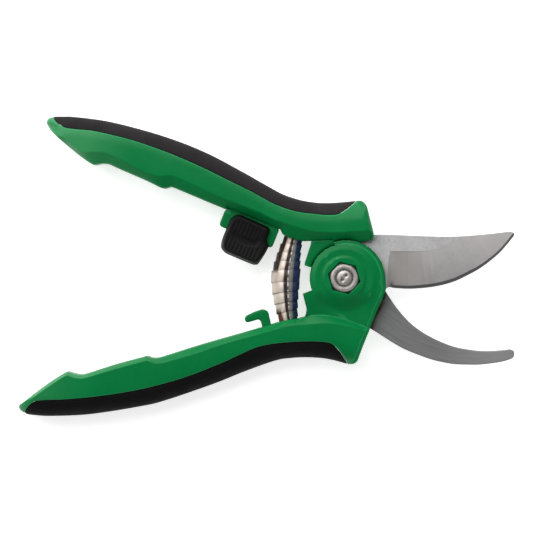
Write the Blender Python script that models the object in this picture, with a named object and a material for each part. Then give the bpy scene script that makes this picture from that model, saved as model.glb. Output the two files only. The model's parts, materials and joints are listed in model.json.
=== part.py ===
"""Bypass pruner, lying on its side with the jaws open.

Frame: metres, +Z up.  The origin is on the pivot axis, in the plane of the flat bolt head that the
pruner rests on.  +X runs from the grips to the blade tips, +Y from the lower handle to the upper one.
Plan dimensions below are in millimetres from the pivot axis, heights from the resting plane.
"""
import math

import bmesh
import bpy
from mathutils import Matrix, Vector
from mathutils.geometry import delaunay_2d_cdt

MM = 0.001
GAP = 0.3                 # clearance between touching pieces
MERGE = 0.004             # points closer than this are one point
FLAT_ANGLE = math.radians(0.4)

# ---- heights of the layers, from the resting plane ----
MID = 9.0                 # middle plane of the handles
HALF = 8.8                # half the handle thickness
REAR_BOSS_TOP = 5.55
COUNTER_Z = (5.85, 8.85)
CUTTING_Z = (9.15, 12.15)
FRONT_BOSS_LOW = 12.45
INNER_HALF = 5.6          # half thickness of a handle at its chamfered inner edge
RIM_HALF = 1.2            # half height of the upright strip around a grip
ROUND = 8.0               # distance over which a grip rounds over
TONGUE_HALF = 4.0         # half thickness of the web that carries a grip
RING_INSETS = (1.8, 4.6)  # where a grip's rounding changes slope, from its outer edge
RING_CLEAR = 1.2          # free strip between those rings and the seam
WEB_ROOT = 1.2            # how far a web reaches back into its handle
BELOW = -1.0              # cutters start below everything and end above everything
ABOVE = 20.0
SKIN = 0.01               # how much thinner a piece is than the one that it is joined to

# ---- plan radii around the pivot ----
BOSS_LEFT_R = 13.4
BOSS_STOP_R = 14.6
BOSS_RIGHT_R = 16.0
OPEN_STOP_DEG = 107.0
CLOSED_STOP_DEG = 200.9
LUG_DEG = 162.3
RUN_R = 0.35              # radial clearance between a boss and the handle around it
REAR_BOSS_R = 13.2
NECK_R = 15.2             # where the rear boss widens to reach the upper handle
NECK_DEG = (68, 161.4)
HUB_R = 13.0
HUB_CLEAR = 0.9
REAR_CLEAR = 0.4
REAR_DISH_R = 10.4
REAR_DISH_DEPTH = 0.85
REAR_FLOOR = 0.05
REAR_CHAMFER = (1.2, 1.0)
CROWN_R = 12.4
DISH_R = 8.2
DISH_DEPTH = 1.5
SCOOP_DEPTH = 1.6
STOP_CLEAR_DEG = 0.6      # running clearance at the open stop
ROOF_END_DEG = 66         # where the upper handle leaves the front boss
ROOF_GROWTH = 0.55
SWEEP_R = 21.2            # room for the cutting blade's back in the upper handle
SWEEP_DEG = (35, 100)

# ---- pivot hardware ----
SHANK_R = 3.0
BUSH_R = 4.4
HEAD_R = 7.2
HEAD_H = 2.4
WASHER_H = 0.8
HEAD_CHAMFER = 0.7
HEAD_CLEAR = 0.5
BOLT_END = [(0.0, 0.9), (0.5, 0.35), (1.6, 0.0)]     # inset and drop of the rounded bolt end
NUT_FLATS = 10.6
NUT_TURN = 46             # where a corner of the nut points
NUT_CLEAR = 0.4
NUT_Z = (13.9, 17.8)
NUT_CHAMFER = (0.2, 0.4, 3.0)
THREAD_CLEAR = 0.25
BUSH_Z = (3.8, 12.8)
BUSH_ROOM_Z = (11.0, 13.6)
REAR_BUSH_ROOM = 7.0
FRONT_WASHER_R = 4.9
FRONT_WASHER_Z = (NUT_Z[0] - GAP - 0.45, NUT_Z[0] - GAP)
REAR_WASHER_Z = (HEAD_H + GAP / 2, HEAD_H + WASHER_H)
BOLT_TOP = 18.7
BLADE_WASHER_R = 8.0
BLADE_WASHER_Z = (8.1, 8.95)

# ---- outlines, each one a short run of points joined by smooth curves ----
UPPER_OUTER = [(-113.0, 63.1), (-107, 63.1), (-93.7, 61.5), (-80.2, 58.3), (-66.8, 54.2), (-53.4, 48.8),
               (-39.9, 41.7), (-29.5, 35.8), (-23, 32.4), (-14.7, 30), (-6.2, 29.3), (4.4, 30.1)]
UPPER_SEAM = [(-113.6, 62.9), (-111.8, 60.5), (-108.5, 58.5), (-103.7, 57.8), (-97, 57.1), (-83.6, 53.9),
              (-70.2, 49.4), (-56.7, 43.7), (-43.3, 37.1), (-35.8, 33.4), (-27.3, 28.8), (-18.9, 25.9),
              (-10.5, 24.8), (-6.2, 24.5), (-2.8, 24.7), (0.1, 26.1), (3.1, 28.4), (5.0, 30.2)]
UPPER_TIP = [(-113.6, 62.9), (-115.5, 62.2), (-116.2, 60.5), (-113.8, 57.1)]
UPPER_INNER = [(-113.8, 57.1), (-110.4, 53.8), (-103.7, 48.2), (-98.6, 44.6), (-96.8, 44.2),
               (-94.3, 44.6), (-91.7, 44.4), (-88.3, 42.9), (-76.9, 37.9), (-71.5, 35.3), (-69.3, 35),
               (-67.5, 35.5), (-65.5, 34.9), (-53.4, 29.8), (-46.3, 26.9)]
UPPER_CREASE = [(-110.5, 56.4), (-104, 50.6), (-101, 48.9), (-97, 49.2), (-92, 48.6), (-83.6, 44.4),
                (-76.9, 41), (-72, 39.8), (-67.5, 40), (-63.5, 38.7), (-56.7, 35.6), (-46.6, 31),
                (-33.2, 25.9), (-27.3, 22.9), (-18.9, 20.2), (-13, 18.4), (-6.2, 17.9), (2.3, 18.1),
                (9.4, 18.9)]
UPPER_ROOT = [(-44.8, 27.4), (-24.8, 19.0), (-23.9, 17.1), (-22.5, 16.1), (-16, 14.3), (-12.9, 13.2),
              (-15.2, 6.1), (-15.4, 4.9)]
UPPER_NOSE = [(6.9, 14.1), (10.7, 14.9), (11.6, 16.2), (11.5, 18), (10.3, 22.2), (9.1, 27.1),
              (8.2, 29), (6.5, 30.2), (5.0, 30.2)]

LOWER_OUTER = [(-124, -53.1), (-121.5, -53.5), (-114.1, -53.9), (-99.1, -53.2), (-79.2, -50.1),
               (-69.3, -47.7), (-50.7, -41.3), (-38.7, -36.5), (-26.8, -32.3), (-20.8, -31.3),
               (-14.9, -31), (-8.9, -31.3), (-4.1, -32.1), (1.0, -33.5)]
LOWER_SEAM = [(-124.6, -52.9), (-122.5, -50.1), (-120.5, -48.1), (-118.1, -47.4), (-106.6, -47),
              (-91.7, -45.4), (-76.8, -42.7), (-61.8, -38.5), (-47.7, -33), (-35.8, -27.6),
              (-29.8, -25.9), (-23.8, -25.1), (-14.9, -24.6), (-7.1, -24.9), (-4.1, -26.1),
              (-1.7, -28.5), (0.1, -31.2), (1.6, -33.6)]
LOWER_TIP = [(-124.6, -52.9), (-126.5, -51.4), (-127, -50.4), (-126.5, -49.4)]
LOWER_INNER = [(-126.5, -49.4), (-124, -47.7), (-119, -43.7), (-114.1, -40.2), (-109.5, -37.3),
               (-107.6, -36.5), (-105.6, -37.1), (-103.1, -37.6), (-100.2, -37.2), (-89.2, -33.7),
               (-79.2, -31), (-76.8, -30.4), (-74.8, -31), (-72.8, -31.1), (-69.3, -30.2),
               (-56, -26), (-41.7, -21.9), (-31.7, -19.1), (-24.4, -16.8), (-17.8, -15.6),
               (-15.2, -15)]
LOWER_CREASE = [(-121, -47.3), (-113, -41.8), (-107.8, -38.6), (-101.7, -39.6), (-96, -37.9),
                (-87.5, -35.1), (-78.5, -32.8), (-74.8, -33.5), (-68.6, -32.6), (-56.4, -28.9),
                (-48, -26), (-28.3, -20.5), (-20.5, -18.6), (-13.3, -17.9), (-5.9, -17.6),
                (1, -18.6), (8, -20.2)]
LOWER_SCOOP = [(-12.6, -13.6), (-6, -15), (0, -16.2), (6, -17.4)]
LOWER_NOSE = [(1.6, -33.6), (3.7, -33.4), (5.1, -32.3), (6, -30), (7.8, -25.2), (9.9, -20.1),
              (12.8, -12.8), (15.3, -7.3), (16.3, -4.3)]

LOWER_SHOULDER = [(-14.4, -12), (-14.8, -14.4)]
SHOULDER_R = 17.2

HOOK = [(-28, -20), (-29.3, -13.7), (-30.2, -12.6), (-32.1, -12.2), (-35.1, -13.2), (-38.3, -14.9),
        (-38.8, -16.3), (-37.8, -17.4), (-33.4, -16.2), (-32.4, -17.1), (-31.6, -21)]
HOOK_Z = (6.2, 11.8)
RAIL = [(-43.5, 29), (-46.6, 26), (-48.5, 21.4), (-48.2, 20.3), (-46.3, 19.4), (-29.4, 12),
        (-28.1, 12.2), (-27.4, 13), (-25.4, 18.4), (-25.6, 22)]
RAIL_Z = (4.5, 13.5)

CUTTING_TOP = [(12.1, 16.9), (18, 16.9), (34.4, 16.3), (41.2, 16.2), (48, 16.5), (57.1, 17.3),
               (63.8, 18.1), (66.3, 17.6), (66.6, 16.6)]
CUTTING_EDGE = [(66.6, 16.6), (61.7, 10.7), (57.1, 6.6), (52.6, 3.4), (48, 0.9), (43.5, -1.2),
                (39, -2.6), (34.4, -3.5), (29.8, -4), (25.3, -4.2), (20.7, -4), (17.6, -3.6)]
CUTTING_GRIND = [(18.4, 4), (19, 10.2), (25, 10.4), (34.5, 11.2), (41, 13), (50, 15.2), (58, 16.2)]
CUTTING_HEEL_DEG = (345, 350)
CUTTING_BACK_DEG = 74
EDGE_THICK = 0.3
CUTTING_TANG = [(-9.4, -19.5), (-20, -21.9), (-36, -26.2)]
COUNTER_EDGE = [(14.6, -2.5), (16.2, -4.9), (17.6, -7.1), (20.7, -11.6), (25.3, -16.9), (29.8, -20.5),
                (34.4, -23.2), (39, -25.3), (43.5, -26.9), (48, -27.8), (52.6, -28.4), (57.1, -28.5),
                (61.7, -28.2), (65.2, -27.8)]
COUNTER_TIP = [(65.2, -27.8), (66.7, -28.9), (66.8, -30.3), (65.6, -31.7)]
COUNTER_OUTER = [(65.6, -31.7), (61.7, -32.8), (57.1, -33.5), (52.6, -33.9), (48, -33.9),
                 (43.5, -33.7), (39, -33), (34.4, -31.9), (29.8, -30.3), (25.3, -28.5), (20.7, -26.2),
                 (11.6, -20.5), (7, -17.9), (1, -15)]
COUNTER_ROOM = [(1, -16.2), (7, -18.9), (10.6, -20.9), (14, -22.5), (40, -22.5), (40, 20)]
COUNTER_TANG = [(-9, 20.2), (-20, 22.8), (-36, 29.2)]
TANG_HALF = 2.5
TANG_TIP = 1.2
PIN_R = 1.6
PIN_Z = (6.2, 11.8)
CUTTING_PINS = [(-17, -21.2), (-33, -25.4)]
COUNTER_PINS = [(-17, 22.1), (-33, 28)]

# ---- spring ----
SPRING_ENDS = [(-19.6, 15.0), (-22.6, -0.6), (-21.3, -16.0)]
SPRING_TURNS = 9
SPRING_SEGMENTS = 12
SPRING_MAX_R = 5.6
SPRING_TAPER = 0.49       # radius lost with each turn away from the widest one
SPRING_PITCH = 2.55       # rise of each turn, with an extra jump at the widest one
SPRING_JUMP = 1.35
STRIP_WIDTH = 4.0
STRIP_THICK = 0.3
SOCKET_R = 4.2
SOCKET_DEPTH = 1.3
SOCKET_REACH = 4.0

# ---- lock ----
SLIDE = (0.927, -0.375)   # direction the lock slides in, towards the pivot
BUTTON = [(-44.3, 23), (-42.3, 24.6), (-40.4, 24.8), (-37.5, 23.6), (-32.4, 21.2), (-29.4, 19.9),
          (-28.8, 18.6), (-29.4, 16.8), (-30.1, 14.5), (-29.4, 11.7), (-33.1, 5.8), (-34.6, 5.1),
          (-36, 5.3), (-42.3, 7.9), (-46.1, 9.6), (-47.8, 11.4), (-48, 12.9), (-47.5, 15.4),
          (-45.7, 19.6)]
BUTTON_Z = (13.8, 19.2)
BUTTON_CENTRE = (-38.4, 14.9)
BUTTON_WALL = 1.0         # upright foot of the flared walls
BUTTON_CROWN = (0.86, 0.6)     # size and drop of the top face's rim
BUTTON_DISH = (0.5, 1.0)       # size and drop of the dished middle
SLOT_ALONG = (-6.6, 6.8)   # rail slot, along the slide from the button's centre
SLOT_ACROSS = (1.4, 4.6)
SLIDER_ALONG = (-6.2, 2.0)
CATCH = [(-47, 14.8), (-47, 11.4), (-45.9, 9.8), (-42, 8), (-42, 9.5), (-45, 10.8), (-45, 14.8)]
CATCH_Z = (6.2, 13.5)
REAR_PLATE_Z = (1.6, 4.2)
REAR_PLATE_ALONG = (-7.2, 3.2)
REAR_PLATE_ACROSS = (0.2, 5.8)
SCREW_R = 1.1
SCREW_HEAD_R = 2.0
SCREW_HEAD_H = 1.0
SCREW_CLEAR = 0.2
SCREW_TOP = 16.7
SCREW_ALONG = (-4.4, 0.2)


def clear_scene():
    for thing in list(bpy.data.objects):
        bpy.data.objects.remove(thing, do_unlink=True)


def material(name, colour, roughness, metallic):
    finish = bpy.data.materials.new(name)
    finish.use_nodes = True
    shader = finish.node_tree.nodes["Principled BSDF"]
    shader.inputs["Base Color"].default_value = (*colour, 1.0)
    shader.inputs["Roughness"].default_value = roughness
    shader.inputs["Metallic"].default_value = metallic
    return finish


# ---------------------------------------------------------------- plane geometry

def polar(radius, degrees):
    angle = math.radians(degrees)
    return (radius * math.cos(angle), radius * math.sin(angle))


def arc(radius, start, end, count, end_radius=None):
    """Points around the pivot; the radius may grow evenly into end_radius."""
    last = radius if end_radius is None else end_radius
    steps = [i / count for i in range(count + 1)]
    return [polar(radius + (last - radius) * t, start + (end - start) * t) for t in steps]


def flow(points, spacing=7.0):
    """A smooth curve through the points, sampled about every spacing millimetres."""
    ends = [points[0]] + list(points) + [points[-1]]
    curve = []
    for a, b, c, d in zip(ends, ends[1:], ends[2:], ends[3:]):
        count = max(1, math.ceil(math.dist(b, c) / spacing))
        for i in range(count):
            t = i / count
            curve.append(tuple(
                0.5 * (2 * q + (r - p) * t + (2 * p - 5 * q + 4 * r - s) * t * t
                       + (3 * q - p - 3 * r + s) * t ** 3)
                for p, q, r, s in zip(a, b, c, d)))
    curve.append(tuple(points[-1]))
    return curve


def shifted(curve, distance):
    """The curve moved sideways, to its left for a positive distance."""
    moved = []
    for i, point in enumerate(curve):
        before = curve[max(i - 1, 0)]
        after = curve[min(i + 1, len(curve) - 1)]
        length = math.dist(before, after)
        normal = (-(after[1] - before[1]) / length, (after[0] - before[0]) / length)
        moved.append((point[0] + normal[0] * distance, point[1] + normal[1] * distance))
    return moved


def reach(point, curve):
    """Distance from a point to a run of straight segments."""
    best = math.inf
    for a, b in zip(curve, curve[1:]):
        run = (b[0] - a[0], b[1] - a[1])
        length = run[0] ** 2 + run[1] ** 2
        t = ((point[0] - a[0]) * run[0] + (point[1] - a[1]) * run[1]) / length
        t = min(1.0, max(0.0, t))
        best = min(best, math.dist(point, (a[0] + run[0] * t, a[1] + run[1] * t)))
    return best


def joined(*curves):
    """One closed outline from curves laid end to end, without repeated points."""
    outline = []
    for curve in curves:
        for point in curve:
            if not outline or math.dist(outline[-1], point) > 0.05:
                outline.append(point)
    if math.dist(outline[0], outline[-1]) < 0.05:
        outline.pop()
    return outline


def dome(distance, full=HALF, rim=RIM_HALF, run=ROUND):
    """Half thickness at a distance from a rounded outer edge."""
    rise = 1.0 - min(distance, run) / run
    return rim + (full - rim) * math.sqrt(1.0 - rise * rise)


def slide_point(along, across):
    """A plan point given along and across the lock's slide."""
    return (BUTTON_CENTRE[0] + SLIDE[0] * along - SLIDE[1] * across,
            BUTTON_CENTRE[1] + SLIDE[1] * along + SLIDE[0] * across)


# ---------------------------------------------------------------- solids

def new_object(name, bm, finish):
    bmesh.ops.recalc_face_normals(bm, faces=bm.faces)
    mesh = bpy.data.meshes.new(name)
    bm.to_mesh(mesh)
    bm.free()
    thing = bpy.data.objects.new(name, mesh)
    bpy.context.scene.collection.objects.link(thing)
    if finish is not None:
        mesh.materials.append(finish)
    return thing


def relief(name, rim, guides, finish=None):
    """A plate whose rim and guide points each carry (x, y, low, high) in millimetres."""
    points = list(rim)
    edges = [(i, (i + 1) % len(rim)) for i in range(len(rim))]
    for guide in guides:
        first = len(points)
        points.extend(guide)
        edges.extend((first + i, first + i + 1) for i in range(len(guide) - 1))
    flat = [Vector(point[:2]) for point in points]
    places, _, triangles, sources, _, _ = delaunay_2d_cdt(flat, edges, [], 1, 1e-4)
    bm = bmesh.new()
    low = []
    high = []
    for place, source in zip(places, sources):
        heights = points[source[0]]
        low.append(bm.verts.new((place.x, place.y, heights[2])))
        high.append(bm.verts.new((place.x, place.y, heights[3])))
    directed = {(face[i], face[(i + 1) % 3]) for face in triangles for i in range(3)}
    for face in triangles:
        bm.faces.new([high[i] for i in face])
        bm.faces.new([low[i] for i in reversed(face)])
    for a, b in directed:
        if (b, a) not in directed:
            bm.faces.new((low[a], low[b], high[b], high[a]))
    bmesh.ops.triangulate(bm, faces=bm.faces)
    return new_object(name, bm, finish)


def level(curve, low, high):
    return [(x, y, low, high) for x, y in curve]


def slab(name, outline, heights, finish=None):
    """A flat plate of even thickness."""
    return relief(name, level(outline, *heights), [], finish)


def revolve(name, profile, centre=(0.0, 0.0), sides=24, finish=None):
    """A turned solid about an upright axis; the profile is a closed run of (radius, height)."""
    bm = bmesh.new()
    rings = []
    for radius, height in profile:
        if radius == 0:
            rings.append([bm.verts.new((centre[0], centre[1], height))])
            continue
        ring = []
        for i in range(sides):
            x, y = polar(radius, 360 * i / sides)
            ring.append(bm.verts.new((centre[0] + x, centre[1] + y, height)))
        rings.append(ring)
    loop = list(zip(rings, rings[1:] + rings[:1]))
    for a, b in loop:
        for i in range(sides):
            j = (i + 1) % sides
            corners = [a[i % len(a)], a[j % len(a)], b[j % len(b)], b[i % len(b)]]
            distinct = list(dict.fromkeys(corners))
            if len(distinct) > 2:
                bm.faces.new(distinct)
    bmesh.ops.triangulate(bm, faces=bm.faces)
    thing = new_object(name, bm, finish)
    thing.data.shade_smooth()
    thing.data.set_sharp_from_angle(angle=math.radians(35))
    return thing


def disc(name, radius, heights, centre=(0.0, 0.0), sides=24, finish=None):
    low, high = heights
    return revolve(name, [(0, low), (radius, low), (radius, high), (0, high)], centre, sides, finish)


def combine(target, tool, operation):
    """Add or subtract one solid from another and remove the tool."""
    change = target.modifiers.new(operation, "BOOLEAN")
    change.operation = operation
    change.solver = "EXACT"
    change.object = tool
    bpy.context.view_layer.objects.active = target
    bpy.ops.object.modifier_apply(modifier=change.name)
    bpy.data.objects.remove(tool, do_unlink=True)
    refine(target)


def refine(thing):
    """Merge points that a Boolean left together, join flat faces and split them into triangles."""
    bm = bmesh.new()
    bm.from_mesh(thing.data)
    bmesh.ops.remove_doubles(bm, verts=bm.verts, dist=MERGE)
    bmesh.ops.dissolve_degenerate(bm, edges=bm.edges, dist=MERGE)
    bmesh.ops.dissolve_limit(bm, angle_limit=FLAT_ANGLE, verts=bm.verts, edges=bm.edges)
    bmesh.ops.triangulate(bm, faces=bm.faces)
    bm.to_mesh(thing.data)
    bm.free()


def to_metres():
    """Everything is shaped in millimetres and brought to metres once, at the end."""
    for thing in bpy.data.objects:
        thing.data.transform(Matrix.Scale(MM, 4))


def add(target, *tools):
    for tool in tools:
        combine(target, tool, "UNION")


def cut(target, *tools):
    for tool in tools:
        combine(target, tool, "DIFFERENCE")


def mirrored(curve, half):
    """Curve points whose two faces stand the same distance from the middle plane."""
    return [(x, y, MID - half(x, y), MID + half(x, y)) for x, y in curve]


# ---------------------------------------------------------------- handles

def handle_height(outer, chamfer):
    """Half thickness of a handle: rounded at the grip side, chamfered along the inner edge."""
    def half(x, y):
        full = dome(reach((x, y), outer))
        if chamfer and reach((x, y), chamfer) < SKIN:
            return min(full, INNER_HALF)
        return full
    return half


def tongue(name, seam, outer, clearance, finish=None):
    """The web that a grip is moulded around, from inside the core to halfway under the grip."""
    start = len(seam) // 8 if clearance else len(seam) // 8 + 1
    root = seam[start:-start]
    halfway = []
    for point in root:
        nearest = min(outer, key=lambda place: math.dist(place, point))
        halfway.append(((point[0] + nearest[0]) / 2, (point[1] + nearest[1]) / 2))
    side = 1 if halfway[0][1] > root[0][1] else -1
    inside = shifted(root, -side * (WEB_ROOT + clearance))
    edge = shifted(halfway, side * clearance)
    outline = joined(inside, edge[::-1])
    return slab(name, outline, (MID - TONGUE_HALF - clearance, MID + TONGUE_HALF + clearance), finish)


def grip(name, outer, seam, side, finish):
    """Soft over-moulded grip: rounded outside, wrapped around the core's web."""
    half = handle_height(outer, None)
    edge = flow(outer)
    join = shifted(flow(seam)[1:-1], side * GAP)
    rim = joined(edge, join[::-1])
    guides = []
    for inset in RING_INSETS:
        ring = shifted(edge, -side * inset)
        kept = [p for p in ring if reach(p, join) > RING_CLEAR and reach(p, edge) > inset - 0.2
                and side * nearest_offset(p, join) > 0]
        guides.append(mirrored(kept, half))
    body = relief(name, mirrored(rim, half), guides, finish)
    cut(body, tongue("grip_web", flow(seam), flow(outer), GAP))
    return body


def nearest_offset(point, curve):
    """How far a point stands to the left of the nearest stretch of a curve."""
    i = min(range(len(curve) - 1), key=lambda k: reach(point, curve[k:k + 2]))
    a, b = curve[i], curve[i + 1]
    cross = (b[0] - a[0]) * (point[1] - a[1]) - (b[1] - a[1]) * (point[0] - a[0])
    return cross / math.dist(a, b)


def boss_outline(clearance):
    """The front boss from its right side round to the closed stop, with the open stop's step."""
    top = arc(BOSS_RIGHT_R + clearance, 0, OPEN_STOP_DEG, 20, BOSS_STOP_R + clearance)
    left = arc(BOSS_LEFT_R + clearance, OPEN_STOP_DEG + clearance, CLOSED_STOP_DEG, 14)
    return top + left


def pocket(name, tang, heights, finish=None, clearance=GAP):
    """The space a blade's tang lies in, open towards the pivot."""
    return slab(name, tang_outline(tang, TANG_HALF + clearance, clearance),
                (heights[0] - clearance, heights[1] + clearance), finish)


def tang_outline(centre, half, extra=0.0):
    """A strip along a line from the pivot, with a pointed end."""
    line = flow([(0.0, 0.0)] + centre)
    before, end = Vector(line[-2]), Vector(line[-1])
    tip = end + (end - before).normalized() * (TANG_TIP + extra)
    return joined(shifted(line, -half), [tuple(tip)], shifted(line, half)[::-1])


def pin_holes(places):
    low, high = PIN_Z
    return [disc("pin_hole", PIN_R + GAP, (low - GAP, high + GAP), place, 10) for place in places]


def spring_socket(place, inward):
    """Shallow round seat for a spring end in a handle's inner edge."""
    seat = disc("spring_socket", SOCKET_R, (-SOCKET_DEPTH, SOCKET_REACH))
    seat.rotation_euler = (-inward * math.pi / 2, 0.0, 0.0)
    seat.location = (place[0], place[1], MID)
    return seat


def upper_handle(finish):
    inner = flow(UPPER_INNER) + UPPER_ROOT[:6]
    outer = flow(UPPER_OUTER)
    crease = flow(UPPER_CREASE)
    stop = OPEN_STOP_DEG + STOP_CLEAR_DEG
    ledge = arc(BOSS_LEFT_R + RUN_R + 0.1, LUG_DEG, stop, 10)
    roof = arc(BOSS_STOP_R + RUN_R, stop, ROOF_END_DEG, 7, BOSS_STOP_R + RUN_R + ROOF_GROWTH)
    rim = joined(flow(UPPER_SEAM)[::-1], flow(UPPER_TIP, 2.0), inner, UPPER_ROOT[6:],
                 ledge, roof, UPPER_NOSE)
    half = handle_height(UPPER_TIP[2:0:-1] + outer, inner + roof + UPPER_NOSE[:3])
    body = relief("upper_handle", mirrored(rim, half), [mirrored(crease, half)], finish)
    add(body, tongue("upper_web", flow(UPPER_SEAM), flow(UPPER_OUTER), 0.0))
    add(body, slab("rail", RAIL, RAIL_Z))
    add(body, rear_boss())
    blade_sweep = [(0.0, 0.0)] + arc(SWEEP_R, *SWEEP_DEG, 12)
    cut(body, slab("blade_sweep", blade_sweep, (COUNTER_Z[1] - 0.05, FRONT_BOSS_LOW)))
    cut(body, pocket("tang_pocket", COUNTER_TANG, COUNTER_Z), *pin_holes(COUNTER_PINS))
    cut(body, disc("hub_room", HUB_R + HUB_CLEAR, (REAR_BOSS_TOP, FRONT_BOSS_LOW), sides=36))
    cut(body, spring_socket(SPRING_ENDS[0], 1))
    cut(body, rail_slot())
    cut(body, stepped_bore())
    return body


def rear_boss():
    """Boss of the upper handle behind the blades, dished around the bolt head, and its neck.

    It is made a little too high, and the room for the hubs is cut down to its top.
    """
    start, end = NECK_DEG
    inset, upright = REAR_CHAMFER
    low = REAR_FLOOR
    top = REAR_BOSS_TOP + GAP
    rim = arc(NECK_R, start, end, 12) + arc(REAR_BOSS_R, end, start + 360, 26)
    foot = arc(NECK_R - inset, start, end, 12) + arc(REAR_BOSS_R - inset, end, start + 360, 26)
    dish = arc(REAR_DISH_R, 0, 360, 32)
    floor = arc(HEAD_R + 1.0, 0, 360, 28)
    guides = [level(foot + foot[:1], low, top), level(dish, low, top),
              level(floor, low + REAR_DISH_DEPTH, top)]
    return relief("rear_boss", level(joined(rim), upright, top), guides)


def stepped_bore():
    """Room for the bolt head and its washer, and beyond it for the bushing."""
    head, step = HEAD_R + HEAD_CLEAR, HEAD_H + WASHER_H + GAP
    bush = BUSH_R + GAP
    return revolve("stepped_bore", [(0, BELOW), (head, BELOW), (head, step), (bush, step),
                                    (bush, REAR_BUSH_ROOM), (0, REAR_BUSH_ROOM)])


def rail_slot():
    return slab("rail_slot", slide_box(SLOT_ALONG, SLOT_ACROSS), (BELOW, ABOVE))


def lower_handle(finish):
    inner = flow(LOWER_INNER)
    outer = flow(LOWER_OUTER)
    boss = boss_outline(0.0)
    shoulder = [polar(SHOULDER_R, CLOSED_STOP_DEG)] + LOWER_SHOULDER
    rim = joined(flow(LOWER_SEAM), LOWER_NOSE, boss, shoulder, inner[::-1], flow(LOWER_TIP, 2.0)[::-1])
    half = handle_height(LOWER_TIP[2:0:-1] + outer, inner)
    crown = arc(CROWN_R, 0, 360, 32)
    dish = arc(DISH_R, 0, 360, 24)
    face = [(x, y, MID - HALF, MID + HALF) for x, y in crown]
    floor = [(x, y, MID - HALF, MID + HALF - DISH_DEPTH) for x, y in dish]
    scoop = [(x, y, MID - HALF, MID + HALF - SCOOP_DEPTH) for x, y in flow(LOWER_SCOOP)]
    guides = [mirrored(flow(LOWER_CREASE), half), face, floor, scoop]
    body = relief("lower_handle", mirrored(rim, half), guides, finish)
    add(body, tongue("lower_web", flow(LOWER_SEAM), flow(LOWER_OUTER), 0.0))
    add(body, slab("hook", HOOK, HOOK_Z))
    cut(body, rear_boss_room())
    cut(body, counter_room())
    cut(body, pocket("tang_pocket", CUTTING_TANG, CUTTING_Z), *pin_holes(CUTTING_PINS))
    cut(body, spring_socket(SPRING_ENDS[2], -1))
    cut(body, disc("bush_bore", BUSH_R + GAP, BUSH_ROOM_Z))
    cut(body, slab("nut_pocket", hexagon(NUT_FLATS / 2 + NUT_CLEAR), (NUT_Z[0] - WASHER_H, ABOVE)))
    return body


def hexagon(half_flats):
    """The nut's outline, by half its width across flats."""
    corner = half_flats / math.cos(math.pi / 6)
    return [polar(corner, NUT_TURN + 60 * i) for i in range(6)]


def rear_boss_room():
    """Space for the upper handle's rear boss, wider where its neck swings."""
    swing = arc(NECK_R + REAR_CLEAR, 45, CLOSED_STOP_DEG, 18)
    rest = arc(REAR_BOSS_R + REAR_CLEAR, CLOSED_STOP_DEG, 405, 24)
    return slab("rear_boss_room", swing + rest, (BELOW, FRONT_BOSS_LOW))


def counter_room():
    """Space behind the front boss for the counter blade's root, from the resting side up."""
    outline = [polar(REAR_BOSS_R, 100), polar(REAR_BOSS_R, 247)] + COUNTER_ROOM
    return slab("counter_room", outline, (BELOW, FRONT_BOSS_LOW))


# ---------------------------------------------------------------- blades

def cutting_blade(finish):
    low, high = CUTTING_Z
    heel = [polar(HUB_R, degrees) for degrees in CUTTING_HEEL_DEG]
    back = joined([polar(HUB_R, CUTTING_BACK_DEG)], flow(CUTTING_TOP))
    edge = flow(CUTTING_EDGE)
    centre = [polar(HUB_R / 2, CUTTING_BACK_DEG / 2)]
    outline = joined_heights(level(centre, low, high), level(heel[::-1], low, high),
                             level(edge[::-1], low, low + EDGE_THICK), level(back[::-1], low, high))
    grind = level(flow(CUTTING_GRIND), low, high)
    body = relief("cutting_blade", outline, [grind], finish)
    add_root(body, CUTTING_TANG, CUTTING_PINS, CUTTING_Z)
    return body


def add_root(body, tang, pins, heights):
    """The round hub and the tang of a blade, with its holes."""
    low, high = heights
    through = (low - 1, high + 1)
    add(body, disc("hub", HUB_R, (low + SKIN, high - SKIN), sides=36))
    add(body, slab("tang", tang_outline(tang, TANG_HALF), (low + 2 * SKIN, high - 2 * SKIN)))
    cut(body, *[disc("pin_hole", PIN_R + GAP, through, place, 10) for place in pins])
    cut(body, disc("bore", BUSH_R + GAP, through))


def joined_heights(*runs):
    """Closed rim of (x, y, low, high) points, without repeated places."""
    rim = []
    for run in runs:
        for point in run:
            if not rim or math.dist(rim[-1][:2], point[:2]) > 0.05:
                rim.append(point)
    if math.dist(rim[0][:2], rim[-1][:2]) < 0.05:
        rim.pop()
    return rim


def counter_blade(finish):
    outline = joined([polar(HUB_R, 250)], [polar(HUB_R / 2, 290)], [polar(HUB_R, 0)], flow(COUNTER_EDGE),
                     COUNTER_TIP, flow(COUNTER_OUTER))
    body = slab("counter_blade", outline, COUNTER_Z, finish)
    add_root(body, COUNTER_TANG, COUNTER_PINS, COUNTER_Z)
    recess = (BLADE_WASHER_Z[0] - GAP, COUNTER_Z[1] + 1)
    cut(body, disc("washer_recess", BLADE_WASHER_R + GAP, recess))
    return body


def tang_pins(name, places, finish):
    """The pins that fix a blade's tang in its handle, counted outwards from the pivot."""
    for number, place in enumerate(places, start=1):
        disc(f"{name}_{number}", PIN_R, PIN_Z, place, 10, finish)


# ---------------------------------------------------------------- pivot hardware

def pivot_bolt(finish):
    head = [(0, 0), (HEAD_R - HEAD_CHAMFER, 0), (HEAD_R, HEAD_CHAMFER), (HEAD_R, HEAD_H),
            (SHANK_R, HEAD_H)]
    end = [(SHANK_R - inset, BOLT_TOP - drop) for inset, drop in BOLT_END]
    return revolve("pivot_bolt", head + end + [(0, BOLT_TOP)], finish=finish)


def ring(name, inner, outer, heights, finish):
    low, high = heights
    return revolve(name, [(inner, low), (outer, low), (outer, high), (inner, high)], finish=finish)


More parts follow.
